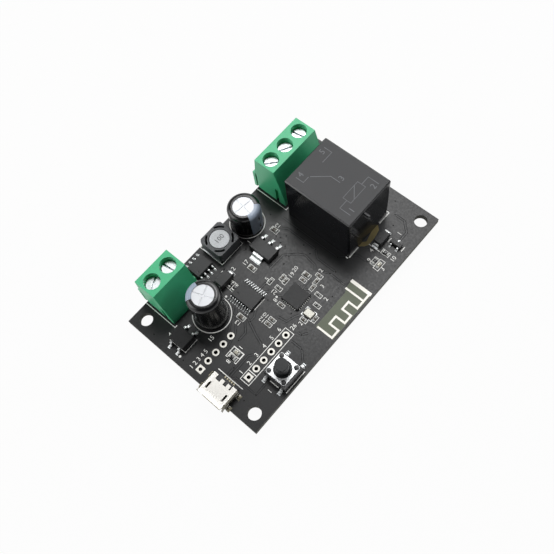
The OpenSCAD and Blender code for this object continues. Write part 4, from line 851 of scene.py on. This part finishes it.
def lead_end(box, holders):
    """The way that a lead points from the nearest holder: axis number, sign and the place of its end."""
    middle = (box[0] + box[1]) / 2
    low, high = min(holders, key=lambda holder: ((holder[0] + holder[1]) / 2 - middle).length)
    shares = [(middle[i] - (low[i] + high[i]) / 2) / (high[i] - low[i]) for i in (0, 1)]
    axis = 0 if abs(shares[0]) > abs(shares[1]) else 1
    sign = 1 if shares[axis] > 0 else -1
    return axis, sign, (box[1] if sign > 0 else box[0])[axis]


def lead_pads(rule):
    """The places of the pads under one node's leads, and of the solder that climbs the leads' ends."""
    height = sizes().pad_height
    holders = [box for owner in rule.owners for box in islands(owner)]
    pads, joints = [], []
    for box in islands(rule.leads):
        axis, sign, face = lead_end(box, holders)
        size = box[1] - box[0]
        long = (rule.length * MM if rule.length else size[axis]) + rule.reach * MM
        wide = size[1 - axis] + rule.extra * MM
        turn = math.atan2(sign if axis else 0, 0 if axis else sign)
        middle = (box[0] + box[1]) / 2
        middle[axis] = face + sign * (rule.reach * MM - long / 2)
        middle.z = TOP
        pads.append((tuple(middle), turn, (long, wide, height)))
        middle[axis] = face - sign * FILLET_SINK
        middle.z = TOP + height / 2
        joints.append((tuple(middle), turn, (rule.run * MM, wide * FILLET_WIDTH, rule.rise * MM)))
    return pads, joints


class RELAY_OT_board(bpy.types.Operator):
    """Coats the board and lays its tracks, small plated holes and copper-free areas."""
    bl_idname = "relay_module.board"
    bl_label = "Circuit board"

    def execute(self, context):
        s = sizes()
        paint("circuit_board", "plated_copper", "solder_joints")
        for name, area, finish in (("antenna_field", ANTENNA_FIELD, "bare_laminate"),
                                   ("bare_patch", BARE_PATCH, "amber_laminate_and_light")):
            mesh = prism(name, [(x * MM, y * MM) for x, y in area], TOP, TOP + s.field_height)
            finished(new_piece(name, mesh, finish))
        width, height = s.track_width, s.track_height
        ribbons("track_gaps", TRACKS, TOP, width + 2 * s.track_gap, height / 2, "track_gap")
        ribbons("coated_tracks", TRACKS, TOP, width, height, "coated_track")
        # Below, every other track runs again, turned half round
        below = [[(-x, -y) for x, y in path] for path in TRACKS[::2]]
        ribbons("coated_tracks_below", below, -height, width, height, "coated_track")
        rings = discs(VIAS, s.via_radius, s.via_height)
        scatter("coated_holes", rings, ring_shape(HOLE_BORE), "solder_mask")
        # Black discs in the small plated holes: painted shade for their dark depth
        mouths = discs(VIAS, s.mouth_radius, s.mouth_height)
        scatter("hole_mouths", mouths, ring_shape(NO_BORE, 10), "via_shade_disc")
        return {"FINISHED"}


class RELAY_OT_print(bpy.types.Operator):
    """Prints the lines and plain numbers on the board."""
    bl_idname = "relay_module.print"
    bl_label = "Board print"

    def execute(self, context):
        s = sizes()
        chips = []
        for node in ("chip_resistors", "chip_capacitors", "led_bases"):
            for low, high in islands(node):
                size = (high - low) / MM
                ends, sides = CHIP_MARGINS if max(size.xy) > SMALL_CHIP else SMALL_CHIP_MARGINS
                off = Vector((ends, sides) if size.x > size.y else (sides, ends))
                chips.append(corner_box(*(low.xy / MM - off), *(high.xy / MM + off)))
        rounds = [circle(*((low + high).xy / 2 / MM), radius) for (low, high), radius in zip(cans(), CAN_RINGS)]
        boxes, below = [[corner_box(*box) for box in group] for group in (PRINTED_BOXES, PRINTED_BOXES_BELOW)]
        ink = s.ink_height
        ribbons("printed_lines", PRINTED_LINES, TOP, s.line_width, ink, "board_ink", boxes + rounds)
        ribbons("chip_outlines", [], TOP, s.outline_width, ink, "board_ink", chips)
        dots = [((x * MM, y * MM, TOP), 0.0, (r * MM, r * MM, ink)) for x, y, r in PRINTED_DOTS]
        scatter("printed_dots", dots, ring_shape(NO_BORE, 16), "board_ink")
        numbers("printed_numbers", NUMBERS, s.number_height, TOP + ink / 2, ink, "board_ink")
        ribbons("printed_lines_below", [], -ink, s.line_width, ink, "board_ink", below)
        marks = []
        for mount, holes, off in HEADER_ROWS:
            middle = MOUNT[mount]
            marks += [(str(i + 1), middle.x + HEADER_PITCH * (i - (holes - 1) / 2), middle.y + off, 0)
                      for i in range(holes)]
        marks += [(str(i), MOUNT["wire_entry_%d" % i].x, POLE_MARKS_Y, 0) for i in POLES]
        numbers("printed_numbers_below", marks, s.number_height, -ink / 2, ink, "board_ink", flip=True)
        return {"FINISHED"}


class RELAY_OT_pads(bpy.types.Operator):
    """Lays the pads under every lead, with solder that climbs the lead's end."""
    bl_idname = "relay_module.pads"
    bl_label = "Pads and solder"

    def execute(self, context):
        s = sizes()
        places = {name: [] for name in ("tinned_pads", "chip_pads", "radio_pads", "solder_fillets", "radio_fillets")}
        for rule in LEAD_PADS:
            pads, joints = lead_pads(rule)
            places[rule.pads] += pads
            places[rule.solder] += joints
        low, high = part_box("crystal_base")
        for x in (low.x + CRYSTAL_INSET[0], high.x - CRYSTAL_INSET[0]):
            for y in (low.y + CRYSTAL_INSET[1], high.y - CRYSTAL_INSET[1]):
                places["tinned_pads"].append(((x, y, TOP), 0.0, (*CRYSTAL_PAD, s.pad_height)))
        low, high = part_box("usb_shell")
        feet = [(low.x + x, (low.y + high.y) / 2 + side * USB_FOOT_Y, TOP) for x in USB_FOOT_X for side in (-1, 1)]
        places["foot_pads"] = [(at, 0.0, (*USB_FOOT_PAD, s.pad_height)) for at in feet]
        places["solder_drops"] = [(at, 0.0, USB_FOOT_DROP) for at in feet]
        for name, finish in (("tinned_pads", "tinned_leads"), ("chip_pads", "grey_tin"), ("radio_pads", "white_tin"),
                             ("foot_pads", "dull_solder")):
            scatter(name, places[name], pad_shape(), finish)
        for name, shape, finish, degrees in (("solder_fillets", fillet_shape, "solder", 50),
                                             ("radio_fillets", fillet_shape, "white_tin", 50),
                                             ("solder_drops", drop_shape, "dull_solder", 60)):
            smooth(scatter(name, places[name], shape(), finish).data, degrees)
        rings = []
        for low, high in islands("solder_joints"):
            middle = (low + high) / 2
            radius = max((high - low).xy) / 2 + s.pin_ring
            rings.append(((middle.x, middle.y, -s.pin_ring_height), 0.0, (radius, radius, s.pin_ring_height)))
        scatter("pad_rings_below", rings, ring_shape(PIN_BORE, 28), "tinned_copper")
        return {"FINISHED"}


class RELAY_OT_terminals(bpy.types.Operator):
    """Rounds the terminal blocks and their clamp screws and finishes the clamps inside."""
    bl_idname = "relay_module.terminals"
    bl_label = "Terminal blocks"

    def execute(self, context):
        s = sizes()
        rounded("terminal_housing_two_way", "terminal_block_two_way", s.block_edge)
        rounded("terminal_housing_three_way", "terminal_block_three_way", s.block_edge)
        for i in POLES:
            rounded("terminal_screw_%d" % i, "clamp_screw_%d" % i, s.screw_edge)
        paint("terminal_contacts", *["clamp_cage_%d" % i for i in POLES])
        return {"FINISHED"}


class RELAY_OT_relay(bpy.types.Operator):
    """Rounds the relay case, prints its wiring sign and finishes the mechanism inside."""
    bl_idname = "relay_module.relay"
    bl_label = "Relay"

    def execute(self, context):
        s = sizes()
        cover = rounded("relay_case", "relay_cover", s.case_edge, 3)
        # The top sits lower by the ink's height, so the print stays inside the case's box
        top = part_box("relay_case")[1].z - s.case_ink
        for point in cover.data.vertices:
            point.co.z = min(point.co.z, top)
        # Only the top is sanded
        cover.data.materials.append(FINISH["relay_gloss"])
        for face in cover.data.polygons:
            sanded = face.normal.z > 0.999 and face.center.z > top - s.case_ink
            face.material_index = 0 if sanded else 1
        ribbons("case_lines", CASE_LINES, top, s.case_line, s.case_ink, "case_ink",
                [corner_box(*CASE_BOX)])
        numbers("case_numbers", CASE_NUMBERS, s.case_number, top, s.case_ink, "case_ink")
        paint("relay_base", "relay_yoke", "relay_core", "relay_bobbin", "relay_coil", "relay_armature",
              "relay_contact_leaf", "relay_contact_posts", "relay_pins")
        return {"FINISHED"}


class RELAY_OT_capacitors(bpy.types.Operator):
    """Rounds the capacitors' sleeves and prints the stripe that marks one lead."""
    bl_idname = "relay_module.capacitors"
    bl_label = "Capacitors"

    def execute(self, context):
        s = sizes()
        rounded("capacitor_sleeves", "capacitor_films", s.sleeve_edge)
        rounded("capacitor_cans", "capacitor_tops", s.can_edge)
        paint("capacitor_seals", "capacitor_leads", "capacitor_rolls")
        # The stripe lies on the film, goes over its shoulder and ends on the rim, with two dashes on top of it
        stripes, dashes = bmesh.new(), bmesh.new()
        outer = SHOULDER + STRIPE_LIFT
        for (low, high), turn in zip(cans(), STRIPE_TURNS):
            middle, radius = (low + high) / 2, (high.x - low.x) / 2
            bottom, bend = low.z + STRIPE_FOOT, high.z - SHOULDER
            arc = [(radius - SHOULDER + outer * math.cos(a), bend + outer * math.sin(a))
                   for a in [math.radians(10 * i) for i in range(10)]]
            outline = [(radius + STRIPE_LIFT, bottom)] + arc + [(radius - STRIPE_REACH, high.z + STRIPE_LIFT)]
            wrapped_patch(stripes, middle.x, middle.y, outline, STRIPE_SHEET, turn, STRIPE_HALF)
            for share in (0.25, 0.75):
                z = bottom + (bend - bottom) * share
                dash = [(radius + DASH_LIFT, z - DASH_LENGTH / 2), (radius + DASH_LIFT, z + DASH_LENGTH / 2)]
                wrapped_patch(dashes, middle.x, middle.y, dash, DASH_SHEET, turn, DASH_HALF)
        for name, shape, finish in (("capacitor_stripes", stripes, "sleeve_ink"),
                                    ("capacitor_dashes", dashes, "sleeve_film")):
            mesh = outward(stored(shape, bpy.data.meshes.new(name)))
            smooth(mesh)
            finished(new_piece(name, mesh, finish))
        return {"FINISHED"}


class RELAY_OT_inductor(bpy.types.Operator):
    """Rounds the inductor's shield and drum and puts a number on the drum."""
    bl_idname = "relay_module.inductor"
    bl_label = "Inductor"

    def execute(self, context):
        s = sizes()
        rounded("inductor_shield", "inductor_jacket", s.shield_edge)
        rounded("inductor_core", "inductor_drum", s.drum_edge)
        low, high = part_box("inductor_core")
        mark = [("100", *((low + high).xy / 2 / MM), 0)]
        numbers("drum_number", mark, s.drum_number, high.z, s.drum_ink, "ferrite")
        paint("inductor_winding", "inductor_terminals")
        return {"FINISHED"}


class RELAY_OT_chips(bpy.types.Operator):
    """Rounds the chip packages, the crystal, the chip resistors and capacitors and the lamps."""
    bl_idname = "relay_module.chips"
    bl_label = "Chips"

    def execute(self, context):
        s = sizes()
        # The bridge takes the darker copy of the epoxy, painted shade
        special = {"radio_chip": "dark_epoxy", "bridge_rectifier": "bridge_epoxy_painted_shade", "chip_end_caps": "grey_tin"}
        for node in ("buck_converter", "microcontroller", "radio_chip", "voltage_regulator", "bridge_rectifier",
                     "power_diodes", "driver_transistor"):
            rounded(node, node + "_package", s.chip_edge, finish=special.get(node))
        rounded("chip_leads", "bent_leads", s.metal_edge, degrees=25)
        rounded("diode_terminals", "diode_tabs", s.metal_edge)
        for node, name in (("chip_resistors", "resistor_bodies"), ("chip_capacitors", "capacitor_bodies"),
                           ("chip_end_caps", "chip_ends"), ("crystal_lid", "crystal_cover"),
                           ("led_bases", "lamp_bases"), ("led_lenses", "lamp_lenses")):
            rounded(node, name, s.small_edge, finish=special.get(node))
        paint("radio_chip_pads", "crystal_base")
        return {"FINISHED"}


class RELAY_OT_switch(bpy.types.Operator):
    """Rounds the push switch's cover, button and legs and makes the sprung dome under the button."""
    bl_idname = "relay_module.switch"
    bl_label = "Push switch"

    def execute(self, context):
        s = sizes()
        rounded("switch_base", "switch_body", s.base_edge)
        rounded("switch_cover", "switch_plate", s.metal_edge)
        rounded("switch_button", "push_button", s.button_edge, 3)
        rounded("switch_legs", "switch_feet", s.metal_edge)
        low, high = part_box("switch_dome")
        dome = new_piece("snap_dome", snap_dome(low, high, s.dome_sheet), "spring_steel")
        smooth(dome.data)
        finished(dome, "board", ["switch_dome"])
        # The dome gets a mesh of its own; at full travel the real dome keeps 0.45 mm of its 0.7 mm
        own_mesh(dome)
        return {"FINISHED"}


class RELAY_OT_usb(bpy.types.Operator):
    """Rounds the USB socket's shell and finishes its inside."""
    bl_idname = "relay_module.usb"
    bl_label = "USB socket"

    def execute(self, context):
        rounded("usb_shell", "usb_jacket", sizes().metal_edge, degrees=30)
        paint("usb_insulator", "usb_contacts")
        return {"FINISHED"}


def white_paper(floor_z):
    """Matt white paper that glows white to the eye, with the glow cut away by position under the board, a painted
    shadow edge, and kept on below the mounting holes, painted light.
    """
    paper = bpy.data.materials.new("white_paper")
    tree = empty_tree(paper)
    place = add(tree, "ShaderNodeTexCoord").outputs["Object"]
    grain = add(tree, "ShaderNodeTexNoise", {"Vector": place, "Scale": 1 / PAPER_GRAIN}).outputs[0]
    shade = add(tree, "ShaderNodeMix", {0: grain, 6: linear("#b9b9b7"), 7: linear("#c0c0be")},
                data_type="RGBA").outputs[2]
    matt = add(tree, "ShaderNodeBsdfDiffuse", {"Color": shade}).outputs[0]
    glow = add(tree, "ShaderNodeEmission", {"Color": (1, 1, 1, 1), "Strength": 1.0}).outputs[0]
    ray = add(tree, "ShaderNodeLightPath").outputs
    seen = add(tree, "ShaderNodeMath", {0: ray["Is Camera Ray"], 1: ray["Is Glossy Ray"]},
               operation="MAXIMUM").outputs[0]
    seen = add(tree, "ShaderNodeMath", {0: seen, 1: ray["Is Transmission Ray"]}, operation="MAXIMUM").outputs[0]
    # Painted shadow: the glow is cut away under the board by position, with a soft edge, so the paper's own shading
    # shows there; below the mounting holes the glow stays on, painted light
    spot = add(tree, "ShaderNodeVectorMath", {0: place}, operation="ABSOLUTE").outputs[0]
    hole = (HOLES["spacing_x_mm"] / 2 * MM, HOLES["spacing_y_mm"] / 2 * MM, -floor_z)
    near = add(tree, "ShaderNodeVectorMath", {0: spot, 1: hole}, operation="DISTANCE").outputs[1]
    under = add(tree, "ShaderNodeMapRange", {0: near, 1: HOLE_LIGHT[0], 2: HOLE_LIGHT[1]},
                interpolation_type="SMOOTHSTEP").outputs[0]
    across = add(tree, "ShaderNodeSeparateXYZ", {0: spot}).outputs
    for side, edge in (("X", BOARD_HIGH.x), ("Y", BOARD_HIGH.y)):
        inside = add(tree, "ShaderNodeMapRange", {0: across[side], 1: edge, 2: edge - SHADOW_EDGE},
                     interpolation_type="SMOOTHSTEP").outputs[0]
        under = add(tree, "ShaderNodeMath", {0: under, 1: inside}, operation="MULTIPLY").outputs[0]
    clear = add(tree, "ShaderNodeMath", {0: 1.0, 1: under}, operation="SUBTRACT").outputs[0]
    seen = add(tree, "ShaderNodeMath", {0: seen, 1: clear}, operation="MULTIPLY").outputs[0]
    part = add(tree, "ShaderNodeMath", {0: seen, 1: PAPER_WHITE}, operation="MULTIPLY").outputs[0]
    mixed = add(tree, "ShaderNodeMixShader", {0: part, 1: matt, 2: glow}).outputs[0]
    add(tree, "ShaderNodeOutputMaterial", {"Surface": mixed})
    return paper


def studio_world():
    """A dim room with a white sweep: the camera sees it behind the floor, and glossy pieces near the horizon."""
    world = bpy.data.worlds.new("studio")
    tree = empty_tree(world)
    path = add(tree, "ShaderNodeLightPath").outputs
    spot = add(tree, "ShaderNodeTexCoord").outputs["Generated"]
    height = add(tree, "ShaderNodeSeparateXYZ", {0: spot}).outputs["Z"]
    sweep = add(tree, "ShaderNodeMapRange", {0: height, 1: SWEEP_TOP[0], 2: SWEEP_TOP[1], 3: SWEEP_LEVEL, 4: 0.0})
    sweep = add(tree, "ShaderNodeMath", {0: sweep.outputs[0], 1: path["Is Glossy Ray"]}, operation="MULTIPLY")
    sweep = add(tree, "ShaderNodeMath", {0: path["Is Camera Ray"], 1: SWEEP_LEVEL, 2: sweep.outputs[0]},
                operation="MULTIPLY_ADD")
    level = add(tree, "ShaderNodeMath", {0: sweep.outputs[0], 1: ROOM_LEVEL}, operation="ADD").outputs[0]
    soft = add(tree, "ShaderNodeBackground", {"Color": (1, 1, 1, 1), "Strength": level}).outputs[0]
    add(tree, "ShaderNodeOutputWorld", {"Surface": soft})
    return world


class RELAY_OT_stage(bpy.types.Operator):
    """Sets the pale floor, the soft light and the camera."""
    bl_idname = "relay_module.stage"
    bl_label = "Stage"

    def execute(self, context):
        scene = bpy.context.scene
        scene.view_settings.view_transform = "Standard"
        floor_z = CAD_BOX[0][2] - FLOOR_GAP
        mesh = prism("floor", corner_box(-FLOOR_REACH, -FLOOR_REACH, FLOOR_REACH, FLOOR_REACH),
                     floor_z - FLOOR_DEPTH, floor_z)
        mesh.materials.append(white_paper(floor_z))
        floor = new_object("floor", mesh)
        scene.world = studio_world()
        for name, place, size, watts in LAMPS:
            lamp = bpy.data.lights.new(name, "AREA")
            lamp.size = size
            lamp.energy = watts
            holder = new_object(name, lamp)
            holder.location = place
            holder.rotation_euler = (-Vector(place)).to_track_quat("-Z", "Y").to_euler()
        view = bpy.data.cameras.new("photo_camera")
        view.sensor_width = CAMERA_SENSOR
        view.lens = CAMERA_LENS
        view.clip_start = 5 * MM
        camera = new_object("photo_camera", view)
        turn = Euler([math.radians(angle) for angle in CAMERA_TURN]).to_matrix().to_4x4()
        camera.matrix_world = Matrix.Translation(Vector(CAMERA_PLACE) * MM) @ turn
        scene.camera = camera
        return {"FINISHED"}


class RELAY_PT_panel(bpy.types.Panel):
    """Lists the steps, sizes and colours in the sidebar."""
    bl_idname = "RELAY_PT_panel"
    bl_label = "Relay module"
    bl_space_type = "VIEW_3D"
    bl_region_type = "UI"
    bl_category = "Relay module"

    def draw(self, context):
        for step in STEPS:
            self.layout.operator(step.bl_idname)
        for group in (context.scene.relay_module_sizes, context.scene.relay_module_colours):
            for key in group.__annotations__:
                self.layout.prop(group, key)


STEPS = [RELAY_OT_board, RELAY_OT_print, RELAY_OT_pads, RELAY_OT_terminals, RELAY_OT_relay, RELAY_OT_capacitors,
         RELAY_OT_inductor, RELAY_OT_chips, RELAY_OT_switch, RELAY_OT_usb, RELAY_OT_stage]
CLASSES = [RelayModuleColours, RelayModuleSizes] + STEPS + [RELAY_PT_panel]


def register():
    """Adds the classes and the settings that they share."""
    for item in CLASSES:
        bpy.utils.register_class(item)
    bpy.types.Scene.relay_module_colours = PointerProperty(type=RelayModuleColours)
    bpy.types.Scene.relay_module_sizes = PointerProperty(type=RelayModuleSizes)


def unregister():
    """Takes the settings and the classes away again."""
    del bpy.types.Scene.relay_module_sizes
    del bpy.types.Scene.relay_module_colours
    for item in reversed(CLASSES):
        bpy.utils.unregister_class(item)


def main():
    """Builds every group in order."""
    register()
    FINISH.update(make_finishes())
    bpy.ops.relay_module.board()
    bpy.ops.relay_module.print()
    bpy.ops.relay_module.pads()
    bpy.ops.relay_module.terminals()
    bpy.ops.relay_module.relay()
    bpy.ops.relay_module.capacitors()
    bpy.ops.relay_module.inductor()
    bpy.ops.relay_module.chips()
    bpy.ops.relay_module.switch()
    bpy.ops.relay_module.usb()
    bpy.ops.relay_module.stage()


if __name__ == "__main__":
    main()
